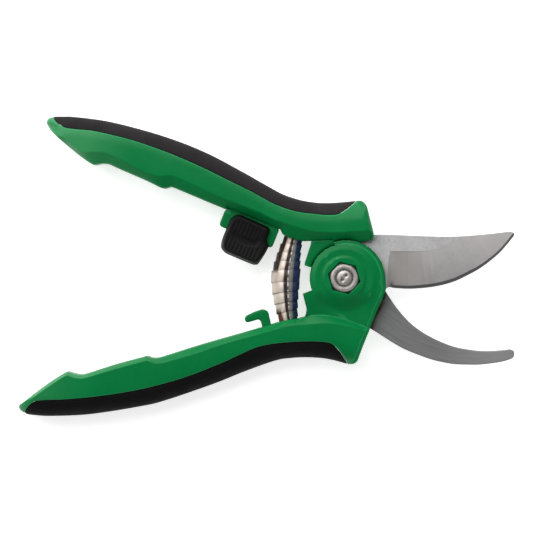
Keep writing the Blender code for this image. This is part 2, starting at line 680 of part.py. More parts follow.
def pivot_nut(finish):
    low, high = NUT_Z
    inset, rise, drop = NUT_CHAMFER
    nut = slab("pivot_nut", hexagon(NUT_FLATS / 2), NUT_Z, finish)
    cut(nut, revolve("chamfer", [(NUT_FLATS / 2 - inset, high + rise), (NUT_FLATS, high + rise),
                                 (NUT_FLATS, high - drop)], sides=36))
    cut(nut, disc("thread", SHANK_R + THREAD_CLEAR, (low - 1, high + 1)))
    return nut


# ---------------------------------------------------------------- spring

def spring_axis(t):
    """Place and direction along the bowed middle line, for t from -1 at the top to 1 below."""
    top, middle, bottom = (Vector((*point, MID)) for point in SPRING_ENDS)
    s = (t + 1) / 2
    place = top * (1 - s) * (1 - 2 * s) + middle * 4 * s * (1 - s) + bottom * s * (2 * s - 1)
    heading = top * (4 * s - 3) + middle * (4 - 8 * s) + bottom * (4 * s - 1)
    return place, heading.normalized()


def volute_spring(finish):
    """Double volute spring: a steel strip wound in steps that narrow towards both ends."""
    bm = bmesh.new()
    half_turns = SPRING_TURNS / 2
    travel = (math.dist(SPRING_ENDS[0], SPRING_ENDS[2]) - STRIP_WIDTH - 2 * GAP) / 2
    count = SPRING_TURNS * SPRING_SEGMENTS
    rings = []
    for i in range(count + 1):
        turn = -half_turns + SPRING_TURNS * i / count
        spread = SPRING_PITCH * turn + SPRING_JUMP * math.tanh(2 * turn)
        limit = SPRING_PITCH * half_turns + SPRING_JUMP
        along = spread / limit * travel / (math.dist(SPRING_ENDS[0], SPRING_ENDS[2]) / 2)
        place, heading = spring_axis(along)
        side = heading.cross(Vector((0, 0, 1))).normalized()
        angle = 2 * math.pi * turn
        outward = side * math.cos(angle) + Vector((0, 0, 1)) * math.sin(angle)
        radius = SPRING_MAX_R - SPRING_TAPER * abs(turn)
        corners = []
        for across, inward in ((-0.5, 0), (0.5, 0), (0.5, 1), (-0.5, 1)):
            point = place + heading * across * STRIP_WIDTH + outward * (radius - inward * STRIP_THICK)
            corners.append(bm.verts.new(point))
        rings.append(corners)
    for a, b in zip(rings, rings[1:]):
        for i in range(4):
            j = (i + 1) % 4
            bm.faces.new((a[i], a[j], b[j], b[i]))
    bm.faces.new(rings[0])
    bm.faces.new(rings[-1])
    bmesh.ops.triangulate(bm, faces=bm.faces)
    return new_object("volute_spring", bm, finish)


# ---------------------------------------------------------------- lock

def lock_button(finish):
    """Thumb slider: a square pad whose side walls flare towards the handle."""
    low, high = BUTTON_Z
    base = flow(BUTTON + BUTTON[:1], 6.0)[:-1]
    crown = level(around_centre(base, BUTTON_CROWN[0]), low, high - BUTTON_CROWN[1])
    dish = level(around_centre(base[::2], BUTTON_DISH[0]), low, high - BUTTON_DISH[1])
    button = relief("lock_button", level(base, low, low + BUTTON_WALL), [crown, dish], finish)
    for along in SCREW_ALONG:
        cut(button, screw_hole(along, (low - 1, SCREW_TOP + GAP)))
    return button


def around_centre(outline, size):
    """A closed line like the button's outline, at another size."""
    centre = Vector(BUTTON_CENTRE)
    line = [tuple(centre + (Vector(point) - centre) * size) for point in outline]
    return line + line[:1]


def screw_hole(along, heights):
    return disc("screw_hole", SCREW_R + SCREW_CLEAR, heights, screw_place(along), 12)


def screw_place(along):
    return slide_point(along, (SLOT_ACROSS[0] + SLOT_ACROSS[1]) / 2)


def slide_box(along, across):
    """Corners of a rectangle laid along the slide."""
    return [slide_point(along[0], across[0]), slide_point(along[1], across[0]),
            slide_point(along[1], across[1]), slide_point(along[0], across[1])]


def lock_slider(finish):
    """Block in the rail's slot that joins the thumb slider to the rear plate."""
    across = (SLOT_ACROSS[0] + GAP, SLOT_ACROSS[1] - GAP)
    block = slab("lock_slider", slide_box(SLIDER_ALONG, across), RAIL_Z, finish)
    for along in SCREW_ALONG:
        cut(block, screw_hole(along, (BELOW, ABOVE)))
    return block


def lock_catch(finish):
    """Nose under the thumb slider that closes over the hook of the other handle."""
    return slab("lock_catch", CATCH, CATCH_Z, finish)


def lock_rear_plate(finish):
    outline = slide_box(REAR_PLATE_ALONG, REAR_PLATE_ACROSS)
    plate = slab("lock_rear_plate", outline, REAR_PLATE_Z, finish)
    head_room = (BELOW, REAR_PLATE_Z[0] + SCREW_HEAD_H + GAP)
    for along in SCREW_ALONG:
        cut(plate, screw_hole(along, (BELOW, ABOVE)))
        cut(plate, disc("head_room", SCREW_HEAD_R + SCREW_CLEAR, head_room, screw_place(along), 16))
    return plate


def lock_screws(finish):
    low = REAR_PLATE_Z[0]
    neck = low + SCREW_HEAD_H
    profile = [(0, low), (SCREW_HEAD_R, low), (SCREW_HEAD_R, neck), (SCREW_R, neck),
               (SCREW_R, SCREW_TOP), (0, SCREW_TOP)]
    for number, along in enumerate(SCREW_ALONG, start=1):
        revolve(f"lock_screw_{number}", profile, screw_place(along), 12, finish)


def build():
    clear_scene()
    green = material("green_nylon", (0.005, 0.19, 0.045), 0.36, 0.0)
    rubber = material("soft_grip", (0.012, 0.011, 0.012), 0.75, 0.0)
    upper_rubber = material("soft_grip_upper", (0.03, 0.028, 0.029), 0.75, 0.0)
    edge_steel = material("blade_steel", (0.42, 0.42, 0.43), 0.32, 1.0)
    counter_steel = material("counter_steel", (0.2, 0.2, 0.2), 0.4, 1.0)
    plated = material("plated_steel", (0.55, 0.54, 0.52), 0.25, 1.0)
    spring_steel = material("spring_steel", (0.6, 0.57, 0.52), 0.18, 1.0)
    bronze = material("bronze", (0.45, 0.28, 0.1), 0.35, 1.0)
    black = material("black_nylon", (0.008, 0.008, 0.008), 0.5, 0.0)

    lower_handle(green)
    grip("lower_grip", LOWER_OUTER, LOWER_SEAM, -1, rubber)
    cutting_blade(edge_steel)
    tang_pins("cutting_blade_pin", CUTTING_PINS, plated)
    upper_handle(green)
    grip("upper_grip", UPPER_OUTER, UPPER_SEAM, 1, upper_rubber)
    counter_blade(counter_steel)
    tang_pins("counter_blade_pin", COUNTER_PINS, plated)
    pivot_bolt(plated)
    pivot_nut(plated)
    ring("pivot_bushing", SHANK_R + GAP, BUSH_R, BUSH_Z, bronze)
    ring("front_washer", SHANK_R + GAP, FRONT_WASHER_R, FRONT_WASHER_Z, plated)
    ring("rear_washer", SHANK_R + GAP, HEAD_R, REAR_WASHER_Z, plated)
    ring("blade_washer", BUSH_R + GAP, BLADE_WASHER_R, BLADE_WASHER_Z, bronze)
    volute_spring(spring_steel)
    lock_button(black)
    lock_slider(black)
    lock_catch(black)
    lock_rear_plate(black)
    lock_screws(plated)
    to_metres()


build()
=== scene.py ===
"""Looks of the bypass pruner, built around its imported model.

Plan dimensions are in millimetres in the model's own frame: origin on the pivot axis, +X to the blade
tips, +Y to the upper handle, +Z up from the side that the pruner lies on.
"""
import json
import math

import bmesh
import bpy
import numpy as np
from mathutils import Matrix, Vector
from mathutils.geometry import delaunay_2d_cdt


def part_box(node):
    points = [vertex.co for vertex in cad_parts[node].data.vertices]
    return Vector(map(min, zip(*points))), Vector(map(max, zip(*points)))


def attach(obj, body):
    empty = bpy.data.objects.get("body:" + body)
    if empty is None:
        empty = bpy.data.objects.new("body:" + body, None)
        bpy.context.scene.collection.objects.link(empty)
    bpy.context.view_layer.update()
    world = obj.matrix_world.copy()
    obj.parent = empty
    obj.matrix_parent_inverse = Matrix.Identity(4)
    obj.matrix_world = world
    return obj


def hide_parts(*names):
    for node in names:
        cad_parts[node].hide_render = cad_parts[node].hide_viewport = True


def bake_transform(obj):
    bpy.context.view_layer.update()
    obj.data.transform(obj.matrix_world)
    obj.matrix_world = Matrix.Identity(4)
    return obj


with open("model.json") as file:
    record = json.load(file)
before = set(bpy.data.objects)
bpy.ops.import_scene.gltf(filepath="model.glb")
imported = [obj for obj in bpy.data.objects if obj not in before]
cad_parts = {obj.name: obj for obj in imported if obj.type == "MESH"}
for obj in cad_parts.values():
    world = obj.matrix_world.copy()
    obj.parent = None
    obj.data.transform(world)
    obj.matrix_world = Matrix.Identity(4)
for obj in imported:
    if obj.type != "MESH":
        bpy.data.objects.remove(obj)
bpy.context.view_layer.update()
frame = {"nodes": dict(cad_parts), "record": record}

MM = 0.001
ON_LINE = 0.05
SHARP = math.radians(32)
SPRING_SHARP = math.radians(40)


def heights(node):
    """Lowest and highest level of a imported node, in millimetres."""
    low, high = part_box(node)
    return low.z / MM, high.z / MM


# ---- levels, read from the frame ----
HANDLE_LOW, HANDLE_HIGH = heights("lower_handle")
MID = (HANDLE_LOW + HANDLE_HIGH) / 2
HALF = (HANDLE_HIGH - HANDLE_LOW) / 2
CUTTING_LOW, CUTTING_HIGH = heights("cutting_blade")
COUNTER_LOW, COUNTER_HIGH = heights("counter_blade")
NUT_LOW, NUT_HIGH = heights("pivot_nut")
BOLT_LOW, BOLT_HIGH = heights("pivot_bolt")
BUTTON_LOW, BUTTON_HIGH = heights("lock_button")
REAR_BOSS_LOW = heights("upper_handle")[0]
REAR_BOSS_HIGH = COUNTER_LOW - 0.3
FRONT_BOSS_LOW = CUTTING_HIGH + 0.3
RAIL = (MID - 4.5, MID + 4.5)
HOOK = (MID - 2.8, MID + 2.8)

# ---- plan radii and angles around the pivot ----
BOSS_LEFT_R = 13.4
BOSS_STOP_R = 14.6
BOSS_RIGHT_R = 16.0
OPEN_STOP_DEG = 107.0
CLOSED_STOP_DEG = 200.9
LUG_DEG = 162.3
REAR_BOSS_R = 13.2
ROOF_GAP = 0.2
ROOF_GROWTH = 0.55
NECK_R = 15.2
NECK_DEG = (68, 161.4)
ROOM_END_DEG = 247
HUB_R = 13.0
CUTTING_HUB_DEG = 338
COUNTER_HUB_DEG = 250
BORE_R = 3.0
RECESS_R = 7.7
ROOT_R = 16.2
ROOT_DEG = 86.0
SLOT_R = 21.2
SLOT_DEG = (35, 100)

# ---- handle sections ----
INNER_HALF = 5.6
RIM_HALF = 1.2
ROUND = 8.0
CROWN = 0.55
CROWN_REACH = 15.0
CREASE_SOFTNESS = 0.04
TIP_FADE = (1.5, 9.0)
RIM_FILLET = 0.55
SEAM_FILLET = 0.3
TABLE_HALF = 8.55
BOSS_CIRCLES = (7.75, 8.3, 8.9, 9.6, 10.4, 11.4, 12.5)
LUG_RISE = 5.7
# distances over which the painted highlight lines fade out
PAINTED_LINE_REACH = (0.08, 0.34)

# ---- nut and its pocket ----
NUT_FLATS = 10.6
NUT_BORE_R = 3.05
SHANK_R = 2.95
POCKET_FLATS = 11.1
POCKET_DEPTH = 0.8
NUT_TURN = 46.0
PUNCH_MARKS = [(0.75, 1.0, 0.55, 0.6), (-0.75, -0.8, 0.65, 0.55), (0.0, 0.1, 1.0, 0.2)]

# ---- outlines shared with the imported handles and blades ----
UPPER_OUTER = [(-113.0, 63.1), (-107, 63.1), (-93.7, 61.5), (-80.2, 58.3), (-66.8, 54.2), (-53.4, 48.8),
               (-39.9, 41.7), (-29.5, 35.8), (-23, 32.4), (-14.7, 30), (-6.2, 29.3), (4.4, 30.1)]
UPPER_SEAM = [(-113.6, 62.9), (-111.8, 60.5), (-108.5, 58.5), (-103.7, 57.8), (-97, 57.1), (-83.6, 53.9),
              (-70.2, 49.4), (-56.7, 43.7), (-43.3, 37.1), (-35.8, 33.4), (-27.3, 28.8), (-18.9, 25.9),
              (-10.5, 24.8), (-6.2, 24.5), (-2.8, 24.7), (0.1, 26.1), (3.1, 28.4), (5.0, 30.2)]
UPPER_TIP = [(-113.6, 62.9), (-114.8, 62.7), (-115.7, 61.9), (-116.1, 60.5), (-115.2, 58.8), (-113.8, 57.1)]
UPPER_INNER = [(-113.8, 57.1), (-110.4, 53.8), (-103.7, 48.2), (-98.6, 44.6), (-96.8, 44.2),
               (-94.3, 44.6), (-91.7, 44.4), (-88.3, 42.9), (-76.9, 37.9), (-71.5, 35.3), (-69.3, 35),
               (-67.5, 35.5), (-65.5, 34.9), (-53.4, 29.8), (-46.3, 26.9)]
UPPER_ROOT = [(-44.8, 27.3), (-24.8, 19.0), (-23.9, 17.1), (-22.5, 16.1), (-16, 14.3)]
UPPER_LEDGE = [(-16, 14.3), (-12.7, 14.5), (-4.3, 14.8)]
LUG_SIDE = [(-12.7, 14.5), (-12.9, 13.2), (-15.2, 6.1), (-15.3, 4.9)]
UPPER_CREASE = [(-113.8, 57.1), (-108.5, 54.2), (-104, 50.6), (-101, 48.9), (-97, 49.2), (-92, 48.6),
                (-83.6, 44.4), (-76.9, 41), (-72, 39.8), (-67.5, 40), (-63.5, 38.7), (-56.7, 35.6),
                (-46.6, 31), (-33.2, 25.9), (-27.3, 22.9), (-18.9, 20.2), (-13, 18.4), (-6.2, 17.9),
                (2.3, 18.1), (11.3, 19.0)]
UPPER_NOSE = [(6.9, 14.1), (9.6, 14.5), (10.9, 15.1), (11.5, 16.2), (11.4, 18), (10.3, 22.2), (9.1, 27.1),
              (8.3, 28.9), (6.7, 30.1), (5.0, 30.2)]

LOWER_OUTER = [(-124, -53.1), (-121.5, -53.5), (-114.1, -53.9), (-99.1, -53.2), (-79.2, -50.1),
               (-69.3, -47.7), (-50.7, -41.3), (-38.7, -36.5), (-26.8, -32.3), (-20.8, -31.3),
               (-14.9, -31), (-8.9, -31.3), (-4.1, -32.1), (1.0, -33.5)]
LOWER_SEAM = [(-124.9, -52.7), (-123.2, -50.2), (-121.2, -48.4), (-118.1, -47.5), (-106.6, -47),
              (-91.7, -45.4), (-76.8, -42.7), (-61.8, -38.5), (-47.7, -33), (-35.8, -27.6),
              (-29.8, -25.9), (-23.8, -25.1), (-14.9, -24.6), (-7.1, -24.9), (-4.1, -26.1),
              (-1.7, -28.5), (0.1, -31.2), (1.6, -33.6)]
LOWER_TIP = [(-124.9, -52.7), (-126, -52), (-126.8, -51), (-126.9, -50.1), (-126.5, -49.4)]
LOWER_INNER = [(-126.5, -49.4), (-124, -47.7), (-119, -43.7), (-114.1, -40.2), (-109.5, -37.3),
               (-107.6, -36.5), (-105.6, -37.1), (-103.1, -37.6), (-100.2, -37.2), (-89.2, -33.7),
               (-79.2, -31), (-76.8, -30.4), (-74.8, -31), (-72.8, -31.1), (-69.3, -30.2),
               (-56, -26), (-41.7, -21.9), (-31.7, -19.1), (-24.4, -16.8), (-17.8, -15.6),
               (-15.2, -15)]
LOWER_CREASE = [(-126.5, -49.4), (-123.4, -48.4), (-118.5, -44.7), (-113.5, -41.3), (-109.2, -38.5),
                (-107.5, -38.0), (-105.2, -38.6), (-102.8, -39.1), (-99.7, -38.6), (-88.6, -35.3),
                (-79, -32.7), (-76.6, -32.2), (-74.3, -33.1), (-71.5, -33.1), (-68.6, -32.5),
                (-56.4, -28.9), (-48, -26), (-28.3, -20.5), (-20.5, -18.6), (-13.3, -17.9),
                (-5.9, -17.6), (1, -18.6), (9.5, -20.6)]
LOWER_SCOOP = [(-15.2, -15), (-11, -14.4), (-6, -14.7), (0, -16), (8, -18.9), (10.4, -19.8)]
LOWER_NOSE = [(1.6, -33.6), (3.7, -33.4), (5.1, -32.3), (6, -30), (7.8, -25.2), (9.9, -20.1),
              (12.8, -12.8), (15.3, -7.3), (16.3, -4.3)]
LOWER_SHOULDER = [(-16.0, -6.15), (-14.5, -12), (-14.8, -14.2), (-15.2, -15)]
HOOK_LINE = [(-28, -20), (-29.3, -13.9), (-29.8, -12.9), (-30.9, -12.3), (-32.1, -12.2), (-35.1, -13.2),
             (-38.0, -14.6), (-38.7, -15.4), (-38.7, -16.5), (-38.1, -17.3), (-37.2, -17.3),
             (-33.6, -16.2), (-32.9, -16.4), (-32.4, -17.1), (-31.4, -21)]
RAIL_LINE = [(-43.5, 29), (-46.6, 26), (-48.4, 21.5), (-48.4, 20.8), (-47.9, 20.1), (-46.3, 19.4),
             (-29.4, 12), (-28.4, 12.0), (-27.7, 12.6), (-25.4, 18.4), (-25.6, 22)]
COUNTER_ROOM = [(1, -16.2), (7, -18.9), (10.6, -20.9), (14, -22.5), (40, -22.5), (40, 20)]

CUTTING_TOP = [(12.1, 16.9), (18, 16.9), (34.4, 16.3), (41.2, 16.2), (48, 16.5), (57.1, 17.3),
               (63.8, 18.1), (65.6, 18.0), (66.4, 17.5), (66.6, 16.6)]
CUTTING_EDGE = [(66.6, 16.6), (61.7, 10.7), (57.1, 6.6), (52.6, 3.4), (48, 0.9), (43.5, -1.2),
                (39, -2.6), (34.4, -3.5), (29.8, -4), (25.3, -4.2), (20.7, -4), (18.6, -3.7)]
CUTTING_HEEL = [(18.6, -3.7), (17.6, -3.5), (16.3, -4.3), (12.0, -5.0)]
GRIND_LINE = [(16.6, -4.0), (17.1, 4.0), (18.0, 10.0), (18.8, 10.5), (25, 10.4), (31, 10.6),
              (35.5, 11.5), (39.5, 13.2), (44, 15.4), (46, 16.7)]
COUNTER_EDGE = [(14.6, -2.5), (16.2, -4.9), (17.6, -7.1), (20.7, -11.6), (25.3, -16.9), (29.8, -20.5),
                (34.4, -23.2), (39, -25.3), (43.5, -26.9), (48, -27.8), (52.6, -28.4), (57.1, -28.5),
                (61.7, -28.2), (65.0, -27.8)]
COUNTER_TIP = [(65.0, -27.8), (66.1, -28.2), (66.7, -29.1), (66.7, -30.3), (66.2, -31.2), (65.2, -31.8)]
COUNTER_OUTER = [(65.2, -31.8), (61.7, -32.8), (57.1, -33.5), (52.6, -33.9), (48, -33.9),
                 (43.5, -33.7), (39, -33), (34.4, -31.9), (29.8, -30.3), (25.3, -28.5), (20.7, -26.2),
                 (11.6, -20.5), (7, -17.9), (1, -15)]

# ---- studio, in metres: the sky is brightest at the horizon and fades between these heights ----
SKY_LOW = 0.10
SKY_HIGH = 0.28
SKY_TOP_LIGHT = 0.12
FLOOR_HALF = 3.0
FLOOR_LEVEL = -0.0002
CAMERA_DISTANCE = 1.3
SHOWN_WIDTH = 0.2079
SENSOR = 36.0

# ---- lock button ----
SLIDE = (0.927, -0.375)
BUTTON_LINE = [(-44.3, 23), (-42.3, 24.5), (-40.4, 24.7), (-37.5, 23.5), (-32.4, 21.2), (-29.5, 19.8),
               (-28.9, 18.5), (-29.4, 16.8), (-30.0, 14.5), (-29.5, 11.9), (-33.1, 5.9), (-34.5, 5.2),
               (-36, 5.4), (-42.3, 8.0), (-46.1, 9.7), (-47.7, 11.4), (-47.9, 12.9), (-47.4, 15.4),
               (-45.7, 19.6)]
BUTTON_CENTRE = (-38.4, 14.9)

# ---- spring: its windings, then its painted reflections across, and the painted light and shade along its flank ----
SPRING_POINTS = [(-18.8, 17.6), (-22.7, -0.5), (-20.9, -19.4)]
SPRING_TURNS = 9
SPRING_MAX_R = 5.75
SPRING_TAPER = 0.49
STRIP_WIDTH = 4.6
PITCH = 2.9
JUMP = 0.5
JUMP_TURN = 0.8
STEPS_PER_TURN = 72
SEAT_HALF = 4.3
SEAT_RISE = 4.1
SEAT_BACK = 6.0
SEAT_FRONT = 0.3
STRIP_THICK = 0.34
SPRING_LEFT = [(-24.7, -16.7), (-26.1, -13.1), (-26.9, -9.6), (-27.6, -6.0), (-28.3, -2.5), (-28.1, 2.1),
               (-27.2, 4.6), (-26.3, 8.2), (-24.9, 11.7), (-22.9, 15.6)]
SPRING_RIGHT = [(-18.0, -16.7), (-17.8, -9.6), (-17.3, -2.5), (-16.9, 4.6), (-16.6, 11.7), (-16.2, 15.6)]
# painted reflections across the strip, with a blue temper tint towards the pivot
SPRING_REFLECTION_AND_TEMPER_BANDS = [(0.0, (0.60, 0.52, 0.45)), (0.20, (0.66, 0.575, 0.50)), (0.34, (0.72, 0.63, 0.55)),
                (0.405, (0.53, 0.45, 0.40)), (0.43, (0.022, 0.013, 0.010)), (0.53, (0.03, 0.02, 0.018)),
                (0.59, (0.20, 0.19, 0.18)), (0.64, (0.30, 0.28, 0.26)), (0.72, (0.25, 0.23, 0.21)),
                (0.75, (0.10, 0.11, 0.15)), (0.77, (0.02, 0.042, 0.14)), (0.90, (0.026, 0.05, 0.18)),
                (1.0, (0.012, 0.02, 0.07))]
# painted light and shade along the outer windings' flank
SPRING_FLANK_LIGHT_SHADE = [(0.0, (0.16, 0.035, 0.02)), (0.10, (0.14, 0.05, 0.03)), (0.16, (0.60, 0.52, 0.45)),
               (0.55, (0.57, 0.49, 0.43)), (0.60, (0.012, 0.006, 0.005)), (0.85, (0.035, 0.010, 0.007)),
               (1.0, (0.06, 0.012, 0.007))]
SIDE_BAND = (0.17, 0.22)


# ================================================================ plan geometry

def polar(radius, degrees):
    angle = np.radians(degrees)
    return np.stack([radius * np.cos(angle), radius * np.sin(angle)], axis=-1)


def arc(radius, start, end, end_radius=None, step=0.6):
    """Points around the pivot; the radius may grow evenly into end_radius."""
    last = radius if end_radius is None else end_radius
    count = max(2, int(abs(math.radians(end - start)) * max(radius, last) / step))
    t = np.linspace(0.0, 1.0, count + 1)
    return polar(radius + (last - radius) * t, start + (end - start) * t)


def flow(points, step=0.7, smooth=True):
    """A curve through the points, sampled about every step millimetres."""
    ends = np.array([points[0], *points, points[-1]], float)
    curve = []
    for p, q, r, s in zip(ends, ends[1:], ends[2:], ends[3:]):
        count = max(1, math.ceil(np.linalg.norm(r - q) / step))
        t = (np.arange(count) / count)[:, None]
        bend = 0.5 * (2 * q + (r - p) * t + (2 * p - 5 * q + 4 * r - s) * t ** 2
                      + (3 * q - p - 3 * r + s) * t ** 3)
        curve.append(bend if smooth else q + (r - q) * t)
    curve.append(ends[-1:])
    return np.concatenate(curve)


def straight(points):
    return flow(points, smooth=False)


def chained(*curves):
    """Curves laid end to end, without repeated points, closed back to the start."""
    points = [curves[0][0]]
    for curve in curves:
        for point in curve:
            if np.linalg.norm(point - points[-1]) > 0.02:
                points.append(point)
    if np.linalg.norm(points[-1] - points[0]) > 0.02:
        points.append(points[0])
    else:
        points[-1] = points[0]
    return np.array(points)


def shifted(curve, distance):
    """The curve moved sideways, to its left for a positive distance."""
    run = np.gradient(curve, axis=0)
    run /= np.maximum(np.linalg.norm(run, axis=1, keepdims=True), 1e-9)
    return curve + np.stack([-run[:, 1], run[:, 0]], axis=1) * distance


def nearest(points, curve):
    """Distance to a curve and the length along it of the nearest place."""
    a, b = curve[:-1], curve[1:]
    run = b - a
    squared = np.maximum((run ** 2).sum(1), 1e-12)
    lengths = np.sqrt(squared)
    start = np.concatenate([[0.0], np.cumsum(lengths)[:-1]])
    gaps = np.empty(len(points))
    places = np.empty(len(points))
    chunk = max(1, 3_000_000 // len(a))
    for i in range(0, len(points), chunk):
        part = points[i:i + chunk, None, :]
        t = np.clip(((part - a) * run).sum(2) / squared, 0.0, 1.0)
        gap = ((a + run * t[..., None] - part) ** 2).sum(2)
        best = gap.argmin(1)
        rows = np.arange(len(best))
        gaps[i:i + chunk] = np.sqrt(gap[rows, best])
        places[i:i + chunk] = start[best] + t[rows, best] * lengths[best]
    return gaps, places


def reach(points, *curves):
    """Distance from each point to the nearest of the curves."""
    return np.min([nearest(points, curve)[0] for curve in curves], axis=0)


def inside(points, loop):
    """Whether each point lies inside a closed loop."""
    x, y = points[:, 0], points[:, 1]
    result = np.zeros(len(points), bool)
    for (ax, ay), (bx, by) in zip(loop, loop[1:]):
        if ay == by:
            continue
        crosses = (ay > y) != (by > y)
        result ^= crosses & (x < (bx - ax) * (y - ay) / (by - ay) + ax)
    return result


def smooth_step(value, low, high):
    t = np.clip((value - low) / (high - low), 0.0, 1.0)
    return t * t * (3 - 2 * t)


def fillet(distance, radius):
    """How far a rounded edge stands below its face."""
    short = radius - np.clip(distance, 0.0, radius)
    return radius - np.sqrt(np.maximum(radius ** 2 - short ** 2, 0.0))


def radius_of(points):
    return np.hypot(points[:, 0], points[:, 1])


# ================================================================ solids

def free_points(lines, cover, step, rings):
    """Points beside the lines, at the ring distances, and an even grid over the rest."""
    found = []
    for line in lines:
        for ring in rings:
            for side in (-ring, ring):
                moved = shifted(line, side)
                keep = reach(moved, *lines) > ring * 0.85
                found.append(moved[keep])
    everything = np.concatenate(lines)
    low, high = everything.min(0), everything.max(0)
    rows = []
    for i, y in enumerate(np.arange(low[1], high[1], step * 0.87)):
        x = np.arange(low[0] + (i % 2) * step / 2, high[0], step)
        rows.append(np.stack([x, np.full(len(x), y)], 1))
    grid = np.concatenate(rows)
    grid = grid[cover(grid)]
    edge = rings[-1] if len(rings) else 0.0
    grid = grid[reach(grid, *lines) > edge + step * 0.45]
    found.append(grid)
    points = np.concatenate(found)
    return points[cover(points)]


def triangulated(lines, region_of, step, rings):
    """Points of a plan, its triangles and the region of each; region 0 is left out."""
    points = []
    edges = []
    for line in lines:
        first = len(points)
        points.extend(line)
        edges.extend((first + i, first + i + 1) for i in range(len(line) - 1))
    points.extend(free_points(lines, lambda p: region_of(p) > 0, step, rings))
    places, _, triangles, *_ = delaunay_2d_cdt([Vector(point) for point in points], edges, [], 0, 1e-3)
    places = np.array([tuple(place) for place in places])
    triangles = np.array([tuple(face) for face in triangles])
    corner = places[triangles]
    u, v = corner[:, 1] - corner[:, 0], corner[:, 2] - corner[:, 0]
    triangles = triangles[np.abs(u[:, 0] * v[:, 1] - u[:, 1] * v[:, 0]) > 1e-7]
    regions = region_of(places[triangles].mean(1))
    return places, triangles[regions > 0], regions[regions > 0]


def solid(name, lines, region_of, layers, finish, step=1.1, rings=(0.06, 0.2, 0.42, 0.7)):
    """One closed mesh over a plan.

    lines are plan curves that the mesh follows.  region_of numbers the region of each point, 0 for
    none.  layers gives each region's bottom and top as functions of the points.
    """
    places, triangles, regions = triangulated(lines, region_of, step, rings)
    level = {number: (bottom(places), top(places)) for number, (bottom, top) in layers.items()}
    verts = []
    faces = []
    column = {}
    owner = {}

    def vertex(i, z):
        stack = column.setdefault(i, {})
        key = round(float(z), 4)
        if key not in stack:
            stack[key] = len(verts)
            verts.append((places[i][0] * MM, places[i][1] * MM, key * MM))
        return stack[key]

    def rise(i, low, high):
        low, high = round(float(low), 4), round(float(high), 4)
        return [column[i][z] for z in sorted(column[i]) if low <= z <= high]

    def wall(a, b, lows, highs):
        if highs[0] - lows[0] < 1e-4 and highs[1] - lows[1] < 1e-4:
            return
        near = rise(a, lows[0], max(highs[0], lows[0]))
        far = rise(b, lows[1], max(highs[1], lows[1]))
        ring = list(dict.fromkeys([near[0]] + far + near[:0:-1]))
        if len(ring) > 2:
            faces.append(ring)

    for face, region in zip(triangles.tolist(), regions.tolist()):
        bottom, top = level[region]
        faces.append([vertex(i, top[i]) for i in face])
        faces.append([vertex(i, bottom[i]) for i in reversed(face)])
        for a, b in zip(face, face[1:] + face[:1]):
            owner[(a, b)] = region
    for (a, b), region in owner.items():
        other = owner.get((b, a), 0)
        if other == region:
            continue
        bottom, top = level[region]
        low, high = (bottom[a], bottom[b]), (top[a], top[b])
        far_bottom, far_top = level.get(other, level[region])
        far_low, far_high = (far_bottom[a], far_bottom[b]), (far_top[a], far_top[b])
        if not other or min(far_low) >= max(high) or max(far_high) <= min(low):
            wall(a, b, low, high)
        else:
            wall(a, b, far_high, high)
            wall(a, b, low, far_low)

    mesh = bpy.data.meshes.new(name)
    mesh.from_pydata(verts, [], faces)
    mesh.validate()
    return finished(name, mesh, finish)


def finished(name, mesh, finish, sharp=SHARP):
    thing = bpy.data.objects.new(name, mesh)
    bpy.context.scene.collection.objects.link(thing)
    mesh.materials.append(finish)
    mesh.shade_smooth()
    mesh.set_sharp_from_angle(angle=sharp)
    return thing


def spots_of(mesh):
    """The mesh's vertices, in millimetres."""
    co = np.empty(len(mesh.vertices) * 3)
    mesh.vertices.foreach_get("co", co)
    return co.reshape(-1, 3) / MM


def give_uv(thing, function):
    """A UV map from positions in millimetres."""
    mesh = thing.data
    uv = function(spots_of(mesh))
    loops = np.empty(len(mesh.loops), int)
    mesh.loops.foreach_get("vertex_index", loops)
    layer = mesh.uv_layers.new(name="grain")
    layer.data.foreach_set("uv", uv[loops].ravel())


def give_value(thing, name, function):
    """A number at each vertex, for the material to read."""
    attribute = thing.data.attributes.new(name, "FLOAT", "POINT")
    attribute.data.foreach_set("value", function(spots_of(thing.data)).astype(np.float32))


def hexagon_line(flats):
    """A hexagon about the pivot, turned as the nut is, by its width across flats."""
    corner = flats / 2 / math.cos(math.pi / 6)
    return chained(straight([polar(corner, NUT_TURN + 60 * i) for i in range(7)]))


def constant(value):
    return lambda points: np.full(len(points), float(value))


def one_region(outline, bore=0.0):
    """Region 1 inside the outline, except in a bore around the pivot."""
    return lambda points: (inside(points, outline) & (radius_of(points) >= bore)).astype(int)


def facing_out(bm, mesh):
    """Writes the bmesh into the mesh with all its faces turned outwards."""
    bmesh.ops.recalc_face_normals(bm, faces=bm.faces)
    bm.to_mesh(mesh)
    bm.free()


def revolve(name, profile, finish, sides=96):
    """A turned solid about an upright axis; the profile is a closed run of (radius, height)."""
    bm = bmesh.new()
    rings = []
    for radius, height in profile:
        count = 1 if radius == 0 else sides
        spots = polar(radius, 360 * np.arange(count) / sides)
        rings.append([bm.verts.new((x * MM, y * MM, height * MM)) for x, y in spots])
    for a, b in zip(rings, rings[1:] + rings[:1]):
        for i in range(sides):
            j = (i + 1) % sides
            ring = [a[i % len(a)], a[j % len(a)], b[j % len(b)], b[i % len(b)]]
            ring = list(dict.fromkeys(ring))
            if len(ring) > 2:
                bm.faces.new(ring)
    mesh = bpy.data.meshes.new(name)
    facing_out(bm, mesh)
    return finished(name, mesh, finish)


# ================================================================ materials

